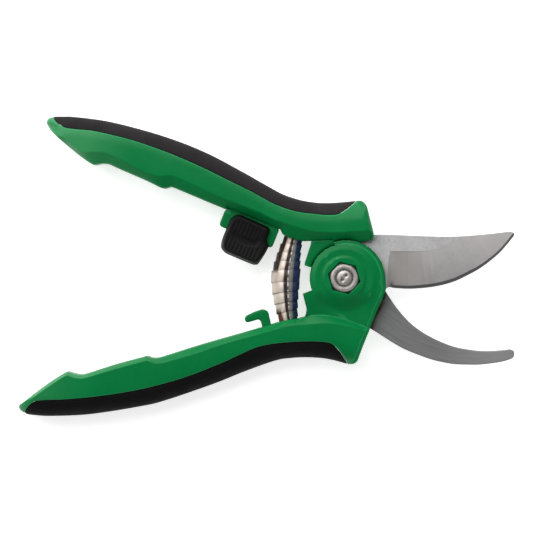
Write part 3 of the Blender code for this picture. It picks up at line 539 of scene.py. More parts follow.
class Nodes:
    """Short-hand for building one node material."""

    def __init__(self, name):
        self.material = bpy.data.materials.new(name)
        self.material.use_nodes = True
        self.tree = self.material.node_tree
        self.shader = self.tree.nodes["Principled BSDF"]

    def add(self, kind, **settings):
        node = self.tree.nodes.new(kind)
        for key, value in settings.items():
            if hasattr(node, key):
                setattr(node, key, value)
            else:
                node.inputs[key.replace("_", " ")].default_value = value
        return node

    def join(self, source, target):
        self.tree.links.new(source, target)

    def place(self, scale=(1, 1, 1), uv=False):
        """Scaled object or UV coordinates."""
        where = self.add("ShaderNodeTexCoord")
        mapping = self.add("ShaderNodeMapping", Scale=scale)
        self.join(where.outputs["UV" if uv else "Object"], mapping.inputs["Vector"])
        return mapping.outputs["Vector"]

    def noise(self, vector, scale, detail=3.0, rough=0.55):
        node = self.add("ShaderNodeTexNoise", Scale=scale, Detail=detail, Roughness=rough)
        self.join(vector, node.inputs["Vector"])
        return node.outputs["Fac"]

    def spread(self, value, low=0.0, high=1.0, start=0.3, end=0.7):
        """A value in a range mapped onto another range."""
        node = self.add("ShaderNodeMapRange", From_Min=start, From_Max=end, To_Min=low, To_Max=high)
        self.join(value, node.inputs["Value"])
        return node.outputs["Result"]

    def mix(self, factor, first, second):
        """Two colours, or colour outputs, mixed by a factor output."""
        node = self.add("ShaderNodeMix", data_type="RGBA")
        self.join(factor, node.inputs["Factor"])
        for side, colour in (("A", first), ("B", second)):
            socket = [s for s in node.inputs if s.name == side and s.type == "RGBA"][0]
            if isinstance(colour, tuple):
                socket.default_value = (*colour, 1.0)
            else:
                self.join(colour, socket)
        return [s for s in node.outputs if s.type == "RGBA"][0]

    def ramp(self, value, stops):
        """A colour ramp read at a value."""
        node = self.add("ShaderNodeValToRGB")
        self.join(value, node.inputs["Fac"])
        elements = node.color_ramp.elements
        elements[0].position, elements[0].color = stops[0][0], (*stops[0][1], 1.0)
        elements[1].position, elements[1].color = stops[-1][0], (*stops[-1][1], 1.0)
        for position, colour in stops[1:-1]:
            elements.new(position).color = (*colour, 1.0)
        return node.outputs["Color"]

    def attribute(self, name):
        return self.add("ShaderNodeAttribute", attribute_name=name).outputs["Fac"]

    def bump(self, height, strength, distance, under=None):
        node = self.add("ShaderNodeBump", Strength=strength, Distance=distance)
        self.join(height, node.inputs["Height"])
        if under is not None:
            self.join(under, node.inputs["Normal"])
        return node.outputs["Normal"]

    def edge_wear_and_highlight(self, low=0.52, high=0.6):
        """High on outward corners of the mesh, for wear and painted highlights along edges."""
        geometry = self.add("ShaderNodeNewGeometry")
        return self.spread(geometry.outputs["Pointiness"], start=low, end=high)

    def wire(self, base, rough, normal=None, **values):
        """Colour, roughness, normal and plain values given to the shader."""
        for output, socket in ((base, "Base Color"), (rough, "Roughness"), (normal, "Normal")):
            if output is not None:
                self.join(output, self.shader.inputs[socket])
        for key, value in values.items():
            self.shader.inputs[key.replace("_", " ")].default_value = value
        return self.material


def green_nylon():
    n = Nodes("green_nylon")
    where = n.place()
    cloud = n.spread(n.noise(where, 45, 2.0))
    base = n.mix(cloud, (0.0004, 0.152, 0.037), (0.0008, 0.170, 0.043))
    blotch = n.spread(n.noise(where, 380, 3.0), 0.0, 0.35, 0.45, 0.8)
    base = n.mix(blotch, base, (0.0006, 0.136, 0.034))
    # lighter outward corners: partly wear, partly painted edge highlight
    base = n.mix(n.edge_wear_and_highlight(), base, (0.012, 0.22, 0.075))
    # painted highlight lines along the seams and the lower handle's scoop and ledge
    base = n.mix(n.attribute("painted_line_highlight"), base, (0.02, 0.24, 0.085))
    # painted sheen: lighter green where the softbox reflects at the handles' far ends
    base = n.mix(n.attribute("painted_sheen"), base, (0.035, 0.245, 0.085))
    fine = n.bump(n.spread(n.noise(where, 900, 3.0)), 0.10, 0.00006)
    return n.wire(base, n.spread(n.noise(where, 160, 4.0), 0.29, 0.38),
                  n.bump(n.noise(where, 110, 2.0), 0.12, 0.0003, fine), Specular_IOR_Level=0.13)


def soft_grip(name, colour, light):
    """Soft over-mould with a fine pebbled skin."""
    n = Nodes(name)
    where = n.place()
    base = n.mix(n.spread(n.noise(where, 60, 3.0)), colour, light)
    pebble = n.add("ShaderNodeTexVoronoi", Scale=1500.0)
    n.join(where, pebble.inputs["Vector"])
    skin = n.bump(pebble.outputs["Distance"], 0.22, 0.00012)
    return n.wire(base, n.spread(n.noise(where, 300, 4.0), 0.62, 0.82),
                  n.bump(n.noise(where, 2600, 2.0), 0.2, 0.00006, skin), Specular_IOR_Level=0.07)


def cutting_steel():
    """Satin plate with a cross-ground face and a honed edge painted dark as shade, read from vertex values;
    painted lighter towards the tip.
    """
    n = Nodes("cutting_steel")
    where = n.place()
    grain = n.place((1.0, 0.035, 1.0), uv=True)
    plate = n.mix(n.spread(n.noise(where, 850, 5.0, 0.75)), (0.37, 0.367, 0.372), (0.54, 0.534, 0.54))
    blotch = n.spread(n.noise(where, 190, 4.0), 0.0, 0.6, 0.35, 0.7)
    plate = n.mix(blotch, plate, (0.56, 0.552, 0.556))
    streak = n.spread(n.noise(grain, 1.5, 4.0, 0.7), 0.0, 1.0, 0.25, 0.75)
    ground = n.mix(streak, (0.30, 0.282, 0.277), (0.50, 0.48, 0.473))
    ground = n.mix(n.spread(n.noise(grain, 0.5, 2.0), 0.0, 0.4), ground, (0.46, 0.44, 0.435))
    ground = n.mix(n.attribute("heel"), ground, (0.37, 0.345, 0.335))
    base = n.mix(n.attribute("ground"), plate, ground)
    # painted light, lighter towards the tip
    base = n.mix(n.attribute("painted_light"), base, (0.64, 0.61, 0.60))
    # the honed edge painted dark as shade
    base = n.mix(n.attribute("honed"), base, (0.12, 0.12, 0.122))
    fine = n.bump(n.noise(where, 700, 4.0, 0.7), 0.10, 0.00006)
    return n.wire(base, n.spread(n.noise(where, 300, 4.0), 0.46, 0.6),
                  n.bump(n.noise(grain, 3.4, 3.0, 0.7), 0.16, 0.00008, fine), Metallic=0.55)


def counter_steel():
    """Darker plate brushed along its length, with a dark brown painted shadow beside the lower handle's nose
    and painted light towards its ends.
    """
    n = Nodes("counter_steel")
    grain = n.place((0.03, 1.0, 1.0), uv=True)
    base = n.mix(n.spread(n.noise(grain, 1.6, 4.0, 0.7)), (0.155, 0.155, 0.158), (0.245, 0.245, 0.248))
    base = n.mix(n.spread(n.noise(n.place(), 150, 4.0), 0.0, 0.5), base, (0.23, 0.23, 0.23))
    # painted light at both ends, lifting the shade near the handle
    base = n.mix(n.attribute("painted_light"), base, (0.33, 0.33, 0.33))
    # painted shadow beside the lower handle's nose
    base = n.mix(n.attribute("nose_shadow"), base, (0.07, 0.02, 0.016))
    return n.wire(base, n.spread(n.noise(grain, 2.0, 3.0), 0.48, 0.62),
                  n.bump(n.noise(grain, 6.5, 3.0, 0.7), 0.14, 0.00006), Metallic=0.7)


def plated_steel():
    n = Nodes("plated_steel")
    where = n.place()
    base = n.mix(n.spread(n.noise(where, 500, 4.0)), (0.32, 0.295, 0.27), (0.50, 0.475, 0.45))
    # painted shade on the nut's corners and groove and in the bolt's punch marks
    base = n.mix(n.attribute("recess"), base, (0.02, 0.026, 0.018))
    return n.wire(base, n.spread(n.noise(where, 800, 4.0), 0.36, 0.5),
                  n.bump(n.noise(where, 900, 3.0), 0.25, 0.00008), Metallic=0.6)


def spring_steel():
    """Polished strip whose colours run lengthwise: across its width a painted reflection, cream highlight
    outside, a dark line and grey, and a blue temper tint towards the pivot.

    Left of SIDE_BAND the outer windings show their flank in painted light and shade; painted glints line the
    dark groove.
    """
    n = Nodes("spring_steel")
    where = n.place()
    split = n.add("ShaderNodeSeparateXYZ")
    n.join(n.place(uv=True), split.inputs["Vector"])
    across = split.outputs["X"]
    # painted reflections across, painted flank light and shade at the left
    base = n.mix(n.spread(across, 1.0, 0.0, *SIDE_BAND), n.ramp(across, SPRING_REFLECTION_AND_TEMPER_BANDS),
                 n.ramp(split.outputs["Y"], SPRING_FLANK_LIGHT_SHADE))
    # painted glints between the windings, along the dark groove
    painted_glint = n.spread(across, 0.0, 1.0, 0.545, 0.565)
    dashes = n.spread(n.noise(n.place((0.0, 1.0, 0.0), uv=True), 22, 1.0), 0.0, 1.0, 0.47, 0.53)
    for share in (n.spread(across, 1.0, 0.0, 0.585, 0.605), dashes):
        product = n.add("ShaderNodeMath", operation="MULTIPLY")
        n.join(painted_glint, product.inputs[0])
        n.join(share, product.inputs[1])
        painted_glint = product.outputs["Value"]
    base = n.mix(painted_glint, base, (0.80, 0.79, 0.77))
    base = n.mix(n.spread(n.noise(where, 500, 3.0), 0.0, 0.25, 0.4, 0.8), base, (0.28, 0.25, 0.22))
    return n.wire(base, n.spread(n.noise(where, 600, 3.0), 0.34, 0.46),
                  n.bump(n.noise(where, 900, 3.0), 0.08, 0.00005), Metallic=0.25, Specular_IOR_Level=0.2)


def black_nylon():
    n = Nodes("black_nylon")
    where = n.place()
    base = n.mix(n.spread(n.noise(where, 120, 3.0)), (0.0035, 0.0035, 0.0037), (0.006, 0.0058, 0.0058))
    # lighter outward corners: partly wear, partly painted edge highlight
    base = n.mix(n.edge_wear_and_highlight(0.53, 0.62), base, (0.016, 0.016, 0.0165))
    return n.wire(base, n.spread(n.noise(where, 400, 4.0), 0.42, 0.58),
                  n.bump(n.noise(where, 1400, 3.0), 0.2, 0.00008), Specular_IOR_Level=0.11)


def bronze():
    n = Nodes("bronze")
    where = n.place()
    base = n.mix(n.spread(n.noise(where, 700, 4.0)), (0.36, 0.2, 0.07), (0.5, 0.31, 0.13))
    return n.wire(base, n.spread(n.noise(where, 900, 3.0), 0.3, 0.5),
                  n.bump(n.noise(where, 2000, 2.0), 0.3, 0.00008), Metallic=1.0)


def floor_finish():
    """Matt white that gives off a little light of its own, as a lit table does."""
    n = Nodes("studio_floor")
    where = n.place()
    base = n.mix(n.noise(where, 3.0, 2.0), (0.76, 0.76, 0.76), (0.79, 0.79, 0.79))
    return n.wire(base, n.spread(n.noise(where, 60, 2.0), 0.7, 0.9), Specular_IOR_Level=0.2,
                  Emission_Color=(1.0, 1.0, 1.0, 1.0), Emission_Strength=0.66)


# ================================================================ handles

class Handle:
    """Curves of one handle and the thickness that they give."""

    def __init__(self, outer, seam, tip, inner, crease):
        # the smooth curve may not bulge past the handles' widest points
        self.outer = np.clip(flow(outer), (-1e3, LOWER_OUTER[2][1]), (1e3, UPPER_OUTER[0][1]))
        self.seam = flow(seam)
        self.tip = flow(tip)
        self.inner = inner
        self.crease = flow(crease)
        self.round_edge = np.concatenate([self.tip[len(self.tip) * 2 // 3:0:-1], self.outer])
        self.strip = chained(self.inner, self.crease[::-1])

    def half(self, points):
        """Half thickness: domed from the grip side, chamfered along the inner edge."""
        gap = np.clip(reach(points, self.round_edge), 0.0, ROUND)
        dome = RIM_HALF + (HALF - RIM_HALF) * np.sqrt(1 - (1 - gap / ROUND) ** 2)
        to_edge = reach(points, self.inner)
        to_crease = reach(points, self.crease)
        dome -= CROWN * smooth_step(to_crease, 0.0, CROWN_REACH)
        beveled = inside(points, self.strip) | (to_edge < ON_LINE)
        share = np.where(beveled, to_crease / (to_edge + to_crease + 1e-6), 0.0)
        soft = share ** 2 / (share + CREASE_SOFTNESS)
        soft *= smooth_step(np.hypot(*(points - self.tip[-1]).T), *TIP_FADE)
        return np.minimum(dome, HALF - (HALF - INNER_HALF) * soft)


def rounded(levels, loop, radius):
    """A layer between two levels with rounded edges along a loop."""
    low, high = levels
    return lambda p: low + fillet(reach(p, loop), radius), lambda p: high - fillet(reach(p, loop), radius)


def nose_roof():
    """The nose's edge over the front boss, which grows with the boss."""
    radius = BOSS_STOP_R + ROOF_GAP
    return arc(radius, OPEN_STOP_DEG + 0.6, 66, radius + ROOF_GROWTH)


def upper_inner():
    """The upper handle's inner edge, up to the ledge over the boss."""
    return np.concatenate([flow(UPPER_INNER), straight(UPPER_ROOT), straight(UPPER_LEDGE)])


def upper_handle(handle, finish):
    """Body, lug, rail and rear boss of the upper handle."""
    ledge = arc(BOSS_LEFT_R + 0.25, LUG_DEG, OPEN_STOP_DEG + 0.6)
    roof = nose_roof()
    inner = upper_inner()
    body = chained(handle.seam[::-1], handle.tip, inner, ledge[-1:], roof, flow(UPPER_NOSE))
    lug = chained(straight(LUG_SIDE), ledge, straight([ledge[-1], UPPER_LEDGE[2], UPPER_LEDGE[1]]))
    rail = chained(straight(RAIL_LINE))
    boss = chained(arc(NECK_R, *NECK_DEG), arc(REAR_BOSS_R, NECK_DEG[1], NECK_DEG[0] + 360))
    recess = arc(RECESS_R, 0, 360)
    nose = np.concatenate([roof[len(roof) // 3:], flow(UPPER_NOSE)])
    rim = [np.concatenate([handle.tip, inner]), flow(UPPER_NOSE)]
    notch = spring_seat(-1)

    def region_of(points):
        number = np.zeros(len(points), int)
        within = inside(points, boss)
        number[inside(points, rail)] = 4
        number[within] = 3
        number[radius_of(points) < RECESS_R] = 5
        in_lug = inside(points, lug)
        number[in_lug] = np.where(within[in_lug], 12, 2)
        in_body = inside(points, body)
        number[in_body] = np.where(within[in_body], 11, 1)
        number[in_body & inside(points, notch)] = 6
        return number

    def rim_drop(points):
        return np.maximum(fillet(reach(points, *rim), RIM_FILLET), fillet(reach(points, roof), 0.3))

    def body_half(points):
        return handle.half(points) - rim_drop(points) - fillet(reach(points, handle.seam), SEAM_FILLET)

    def body_top(points):
        lift = handle.half(points)
        lift = np.minimum(lift, HALF - 1.6 * (1 - smooth_step(reach(points, nose), 0.0, 2.2)) ** 2)
        return MID + lift - rim_drop(points) - fillet(reach(points, handle.seam), 0.35)

    def lug_top(points):
        to_arc = reach(points, ledge)
        return MID + LUG_RISE - 0.2 * (1 - smooth_step(to_arc, 0.1, 0.8)) - fillet(reach(points, lug), 0.2)

    def rear_bottom(points):
        radius = radius_of(points)
        rise = 0.85 * (1 - smooth_step(radius, 8.2, 10.8))
        return REAR_BOSS_LOW + rise + fillet(reach(points, boss), 0.9)

    layers = {
        1: (lambda p: MID - body_half(p), body_top),  # body
        11: (rear_bottom, body_top),  # body on the rear boss
        2: (lambda p: MID - INNER_HALF + fillet(reach(p, lug), 0.45), lug_top),  # lug
        12: (rear_bottom, lug_top),  # lug on the rear boss
        3: (rear_bottom, constant(REAR_BOSS_HIGH)),  # rear boss
        4: rounded(RAIL, rail, 0.5),  # rail
        5: (constant(BOLT_LOW + 3.5), constant(REAR_BOSS_HIGH)),  # recess for the bolt's head
        6: (constant(MID + SEAT_RISE), body_top),  # roof over the spring
    }
    lines = [body, lug, rail, boss, recess, notch, handle.crease]
    thing = solid("upper_handle_shell", lines, region_of, layers, finish)
    cut_blade_slot(thing)
    # a painted highlight line along the seam
    give_value(thing, "painted_line_highlight", lambda s: 1 - smooth_step(reach(s[:, :2], handle.seam), *PAINTED_LINE_REACH))
    # painted sheen, strongest at the upper handle's far end
    give_value(thing, "painted_sheen", lambda s: 0.85 * smooth_step(-s[:, 0], 80, 106))
    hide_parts("upper_handle")
    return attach(thing, "upper")


def spring_seat(t):
    """Plan outline of the room for the spring's end in a handle, at t = -1 in the upper one and 1 below."""
    place, heading = spring_axis(t)
    along = heading[:2] * t
    side = np.array([along[1], -along[0]]) * SEAT_HALF
    back = place[:2] - along * SEAT_BACK
    front = place[:2] + along * SEAT_FRONT
    return chained(straight([back - side, front - side, front + side, back + side]))


def cut_blade_slot(thing):
    """The slot in the nose that the cutting blade's back lies in."""
    slot = chained(np.zeros((1, 2)), arc(SLOT_R, *SLOT_DEG))
    tool = solid("slot_tool", [slot], one_region(slot),
                 {1: (constant(COUNTER_HIGH - 0.05), constant(FRONT_BOSS_LOW))},
                 thing.data.materials[0], step=6.0, rings=())
    change = thing.modifiers.new("slot", "BOOLEAN")
    change.operation = "DIFFERENCE"
    change.solver = "EXACT"
    change.object = tool
    bpy.context.view_layer.objects.active = thing
    bpy.ops.object.modifier_apply(modifier=change.name)
    bpy.data.objects.remove(tool, do_unlink=True)
    thing.data.shade_smooth()
    thing.data.set_sharp_from_angle(angle=SHARP)


def boss_height(points):
    """Half thickness of the front boss: a round table, a soft ring around it, a scoop below."""
    radius = radius_of(points)
    table = TABLE_HALF - 0.5 * smooth_step(radius, 7.7, 8.9)
    ring = table + 0.1 * smooth_step(radius, 9.3, 11.0) - 0.65 * smooth_step(radius, 11.0, 13.8)
    scoop = TABLE_HALF - 2.9 * smooth_step(radius, 6.2, 13.4)
    falling = smooth_step(-points[:, 1] / (radius + 0.1), 0.42, 0.96)
    return ring * (1 - falling) + scoop * falling


def lower_handle(handle, finish):
    """Body, front boss and hook of the lower handle."""
    right_arc = arc(BOSS_RIGHT_R, 0, OPEN_STOP_DEG, BOSS_STOP_R)
    boss = np.concatenate([right_arc, arc(BOSS_LEFT_R, OPEN_STOP_DEG, CLOSED_STOP_DEG)])
    nose = flow(LOWER_NOSE)
    shoulder = straight(LOWER_SHOULDER)
    body = chained(handle.seam, nose, boss, shoulder, handle.inner[::-1], handle.tip[::-1])
    hook = chained(straight(HOOK_LINE))
    scoop = flow(LOWER_SCOOP)
    right_edge = np.concatenate([nose, right_arc])
    ledge = shifted(right_edge, 1.5)[4:]
    room = chained(arc(NECK_R + 0.4, SLOT_DEG[1], CLOSED_STOP_DEG),
                   arc(REAR_BOSS_R + 0.4, CLOSED_STOP_DEG, ROOM_END_DEG), straight(COUNTER_ROOM))
    hexagon = hexagon_line(POCKET_FLATS)
    seat = spring_seat(1)
    rim = chained(nose, boss, shoulder, handle.inner[::-1], handle.tip[::-1])
    above = chained(scoop, nose[-12:], boss, shoulder)
    between = chained(handle.crease[-60:], scoop[::-1])

    def region_of(points):
        number = np.zeros(len(points), int)
        number[inside(points, hook)] = 3
        in_body = inside(points, body)
        number[in_body] = np.where(inside(points[in_body], room), 2, 1)
        number[in_body & inside(points, seat)] = 5
        number[inside(points, hexagon)] = 4
        return number

    def rounding(points):
        return fillet(reach(points, rim), RIM_FILLET) + fillet(reach(points, handle.seam), SEAM_FILLET)

    def top(points):
        plate = boss_height(points)
        to_scoop = reach(points, scoop)
        to_crease = reach(points, handle.crease)
        slope = plate + (HALF - plate) * (to_scoop / (to_scoop + to_crease + 1e-6)) ** 0.85
        lift = np.where(inside(points, between), np.minimum(slope, HALF), handle.half(points))
        lift = np.where(inside(points, above), plate, lift)
        lift -= 0.4 * (1 - smooth_step(reach(points, right_edge), 1.0, 2.0))
        return MID + lift - fillet(reach(points, hexagon), 0.4) - rounding(points)

    def bottom(points):
        return MID - handle.half(points) + rounding(points)

    layers = {
        1: (bottom, top),  # body
        2: (constant(FRONT_BOSS_LOW), top),  # front boss
        3: rounded(HOOK, hook, 0.6),  # hook
        4: (constant(FRONT_BOSS_LOW), constant(NUT_LOW - POCKET_DEPTH)),  # pocket for the nut
        5: (constant(MID + SEAT_RISE), top),  # roof over the spring
    }
    circles = [arc(radius, 0, 360) for radius in BOSS_CIRCLES]
    lines = [body, hook, scoop, ledge, room, hexagon, seat, handle.crease, *circles]
    thing = solid("lower_handle_shell", lines, region_of, layers, finish)
    # painted highlight lines along the scoop, the ledge and the seam
    painted_highlight_lines = [scoop[4:-3], ledge[:-6], handle.seam]
    give_value(thing, "painted_line_highlight", lambda s: 1 - smooth_step(reach(s[:, :2], *painted_highlight_lines), *PAINTED_LINE_REACH))
    # painted sheen at the lower handle's far end
    give_value(thing, "painted_sheen", lambda s: 0.4 * smooth_step(-s[:, 0], 95, 125))
    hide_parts("lower_handle")
    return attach(thing, "lower")


def grip(name, handle, side, node, body, finish):
    """Soft over-mould along the outer edge of a handle, a little below the green at the seam."""
    join = shifted(handle.seam, side * 0.08)[1:-1]
    outline = chained(handle.outer, join[::-1])

    def half(points):
        lower = 0.35 * (1 - smooth_step(reach(points, join), 0.0, 3.0))
        return handle.half(points) - lower - fillet(reach(points, join), 0.35)

    layers = {1: (lambda p: MID - half(p), lambda p: MID + half(p))}
    thing = solid(name, [outline], one_region(outline), layers, finish,
                  rings=(0.03, 0.12, 0.3, 0.6, 1.0, 1.6))
    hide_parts(node)
    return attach(thing, body)


# ================================================================ blades

def honed_width(points):
    """Width of the honed edge, widest along the middle of the blade."""
    towards_hub = -points[:, 0]
    return 0.95 + 0.35 * smooth_step(towards_hub, -62, -46) - 0.15 * smooth_step(towards_hub, -34, -22)


def cutting_blade(finish):
    edge = flow(CUTTING_EDGE)
    back = flow(CUTTING_TOP)
    hub = arc(HUB_R, ROOT_DEG, CUTTING_HUB_DEG)
    root = straight([polar(HUB_R, ROOT_DEG), polar(ROOT_R, ROOT_DEG), CUTTING_TOP[0]])
    grind = flow(GRIND_LINE)
    bore = arc(BORE_R, 0, 360)
    outline = chained(root, back, edge, straight(CUTTING_HEEL), hub[::-1])
    free_back = back[len(back) * 60 // 100:]
    face = chained(grind, back[len(back) * 45 // 100:], edge)

    def top(points):
        to_edge = reach(points, edge)
        to_grind = reach(points, grind)
        share = to_grind / (to_grind + to_edge + 1e-6)
        ground = inside(points, face) | (reach(points, edge, free_back) < ON_LINE)
        fading = smooth_step(points[:, 0], 24, 36)
        step = 0.10 * smooth_step(to_grind, 0.0, 0.25) * (1 - fading)
        drop = np.where(ground, step + 1.25 * share ** (1.15 + 1.3 * fading), 0.0)
        honed = np.clip(1 - to_edge / honed_width(points), 0.0, 1.0)
        drop = np.where(ground, drop + honed * 0.6, drop)
        return np.maximum(CUTTING_HIGH - drop - fillet(reach(points, outline), 0.12), CUTTING_LOW + 0.1)

    honed_line = shifted(edge, -honed_width(edge)[:, None])[1:-2]
    thing = solid("cutting_blade_ground", [outline, grind, bore, honed_line], one_region(outline, BORE_R),
                  {1: (constant(CUTTING_LOW), top)}, finish, step=1.0,
                  rings=(0.08, 0.22, 0.45, 0.75, 1.05))

    def ground_value(spots):
        points = spots[:, :2]
        fade = 1 - 0.5 * smooth_step(points[:, 0], 24, 42)
        value = smooth_step(np.where(inside(points, face), reach(points, grind), 0.0), 0.0, 0.3) * fade
        return value * (spots[:, 2] > CUTTING_LOW + 0.05)

    def honed_shade_mask(spots):
        return (reach(spots[:, :2], edge) < honed_width(spots) * 1.03) * 1.0

    give_value(thing, "ground", ground_value)
    # the honed edge is painted dark as shade
    give_value(thing, "honed", honed_shade_mask)
    # painted light towards the tip
    give_value(thing, "painted_light", lambda s: 0.7 * smooth_step(s[:, 0], 40, 62))
    give_value(thing, "heel", lambda s: (1 - smooth_step(s[:, 0], 20, 40)) * 0.75)
    give_uv(thing, lambda s: np.stack(nearest(s[:, :2], edge)[::-1], 1))
    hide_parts("cutting_blade")
    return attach(thing, "lower")


def counter_blade(finish):
    edge = flow(COUNTER_EDGE)
    outer = flow(COUNTER_OUTER)
    hub = arc(HUB_R, 0, COUNTER_HUB_DEG)
    bore = arc(BORE_R, 0, 360)
    outline = chained(edge, flow(COUNTER_TIP), outer, hub[::-1])

    def top(points):
        return COUNTER_HIGH - fillet(reach(points, outline), 0.25)

    def bottom(points):
        bevel = 1.3 * np.clip(1 - reach(points, edge) / 2.2, 0.0, 1.0)
        return COUNTER_LOW + np.maximum(bevel, fillet(reach(points, outline), 0.25))

    thing = solid("counter_blade_hook", [outline, bore], one_region(outline, BORE_R), {1: (bottom, top)},
                  finish, step=1.2, rings=(0.06, 0.15, 0.3, 0.7, 1.4, 2.2))
    line = flow(LOWER_NOSE)

    # painted shadow in a band beside the lower handle's nose, on the upper face
    def nose_shadow(spots):
        beside = reach(spots[:, :2], line)
        return (1 - smooth_step(beside, 0.75, 1.3)) * (spots[:, 2] > COUNTER_LOW + 1)

    give_value(thing, "nose_shadow", nose_shadow)
    # painted light away from x = 28, lifting the shade near the handle
    give_value(thing, "painted_light", lambda s: 0.6 * smooth_step(np.abs(s[:, 0] - 28), 4, 30))
    give_uv(thing, lambda s: np.stack(nearest(s[:, :2], outer)[::-1], 1))
    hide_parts("counter_blade")
    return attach(thing, "upper")


# ================================================================ pivot

def pivot_nut(finish):
    hexagon = hexagon_line(NUT_FLATS)
    bore = arc(NUT_BORE_R, 0, 360, step=0.3)
    circle = arc(5.0, 0, 360, step=0.3)

    def top(points):
        radius = radius_of(points)
        outside = np.clip(radius - 5.1, 0.0, None) * 0.8
        inner = np.clip(3.9 - radius, 0.0, None) * 0.45
        crown = 0.12 * ((radius - 4.4) / 0.6) ** 2 * (np.abs(radius - 4.4) < 0.6)
        return NUT_HIGH - outside - inner - crown - fillet(reach(points, hexagon), 0.12)

    thing = solid("pivot_nut_hex", [hexagon, bore, circle], one_region(hexagon, NUT_BORE_R),
                  {1: (constant(NUT_LOW), top)}, finish, step=0.5, rings=(0.06, 0.16, 0.32))
    give_value(thing, "recess", nut_painted_shade)
    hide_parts("pivot_nut")
    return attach(thing, "lower")


def nut_painted_shade(spots):
    """Painted shade: high on the nut's corners, which mirror the dark pocket, and in the groove around the
    bolt.
    """
    radius = radius_of(spots)
    groove = smooth_step(radius, 2.9, 3.1) * (1 - smooth_step(radius, 3.6, 3.95))
    return np.maximum(0.92 * smooth_step(radius, 5.1, 5.35), 0.65 * groove)


def pivot_bolt(finish):
    """Low flat head below, plain shank, rounded end with two punch marks that stands in the nut."""
    head = [(0, 0.35), (2.6, 0.35), (3.0, 0), (6.3, 0), (6.8, 0.12), (7.1, 0.45), (7.2, 0.9), (7.2, 2.4),
            (SHANK_R, 2.4)]
    neck = [(SHANK_R, -1.3), (2.7, -1.25), (0, -1.25)]
    profile = [(radius, BOLT_LOW + rise) for radius, rise in head]
    profile += [(radius, BOLT_HIGH + rise) for radius, rise in neck]
    shank = revolve("pivot_bolt_turned", profile, finish)
    rim = arc(SHANK_R, 0, 360, step=0.25)

    def top(points):
        rise = 0.95 * np.sqrt(np.clip(1 - (radius_of(points) / 3.3) ** 2, 0.0, 1.0)) + 0.05
        marks = sum(deep * np.exp(-((points[:, 0] - x) ** 2 + (points[:, 1] - y) ** 2) / size ** 2)
                    for x, y, size, deep in PUNCH_MARKS)
        return BOLT_HIGH - 1.0 + rise - marks - fillet(SHANK_R - radius_of(points), 0.25)

    # painted shade in the two punch marks
    def recess(spots):
        return sum(0.9 * np.exp(-((spots[:, 0] - x) ** 2 + (spots[:, 1] - y) ** 2) / (0.8 * size) ** 2)
                   for x, y, size, _ in PUNCH_MARKS[:2])

    end = solid("pivot_bolt_end", [rim], one_region(rim), {1: (constant(BOLT_HIGH - 1.2), top)}, finish,
                step=0.16, rings=(0.05, 0.12, 0.25))
    give_value(end, "recess", recess)
    for thing in (shank, end):
        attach(thing, "lower")
    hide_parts("pivot_bolt")
    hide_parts("pivot_bolt")


# ================================================================ spring

def spring_axis(t):
    """Place and direction along the bowed middle line, for t from -1 at the top to 1 below."""
    top, middle, bottom = (np.array([*point, MID]) for point in SPRING_POINTS)
    s = (t + 1) / 2
    place = top * (1 - s) * (1 - 2 * s) + middle * 4 * s * (1 - s) + bottom * s * (2 * s - 1)
    heading = top * (4 * s - 3) + middle * (4 - 8 * s) + bottom * (4 * s - 1)
    return place, heading / np.linalg.norm(heading)


def volute_spring(finish):
    """Double volute spring: a strip wound in steps that narrow towards both ends."""
    half_turns = SPRING_TURNS / 2
    length = math.dist(SPRING_POINTS[0], SPRING_POINTS[2])
    travel = (length - STRIP_WIDTH - 0.6) / length
    limit = PITCH * half_turns + JUMP
    count = SPRING_TURNS * STEPS_PER_TURN
    across = [(-0.5, 0.25), (-0.47, 0.0), (0.47, 0.0), (0.5, 0.25), (0.5, 0.75), (0.47, 1.0), (-0.47, 1.0),
              (-0.5, 0.75)]
    verts = []
    for i in range(count + 1):
        turn = -half_turns + SPRING_TURNS * i / count
        along = (PITCH * turn + JUMP * math.tanh(2 * (turn - JUMP_TURN))) / limit * travel
        place, heading = spring_axis(along)
        side = np.cross(heading, (0, 0, 1))
        side /= np.linalg.norm(side)
        angle = -2 * math.pi * turn
        outward = side * math.cos(angle) + np.array([0, 0, 1]) * math.sin(angle)
        radius = SPRING_MAX_R - SPRING_TAPER * abs(turn)
        for shift, inward in across:
            spot = place + heading * shift * STRIP_WIDTH + outward * (radius - inward * STRIP_THICK)
            verts.append(spot * MM)
    sides = len(across)
    faces = [list(range(sides)), list(range(count * sides, (count + 1) * sides))[::-1]]
    for i in range(count):
        for j in range(sides):
            k = (j + 1) % sides
            faces.append([i * sides + j, (i + 1) * sides + j, (i + 1) * sides + k, i * sides + k])
    mesh = bpy.data.meshes.new("volute_spring_strip")
    mesh.from_pydata(verts, [], faces)
    bm = bmesh.new()
    bm.from_mesh(mesh)
    facing_out(bm, mesh)
    thing = finished("volute_spring_strip", mesh, finish, SPRING_SHARP)
    left = np.array(SPRING_LEFT)
    right = np.array(SPRING_RIGHT)

    def place_across(spots):
        low = np.interp(spots[:, 1], left[:, 1], left[:, 0])
        high = np.interp(spots[:, 1], right[:, 1], right[:, 0])
        return np.stack([np.clip((spots[:, 0] - low) / (high - low), 0.0, 1.0), (spots[:, 1] + 17) / 34], 1)

    give_uv(thing, place_across)
    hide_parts("volute_spring")
    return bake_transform(thing)


# ================================================================ lock

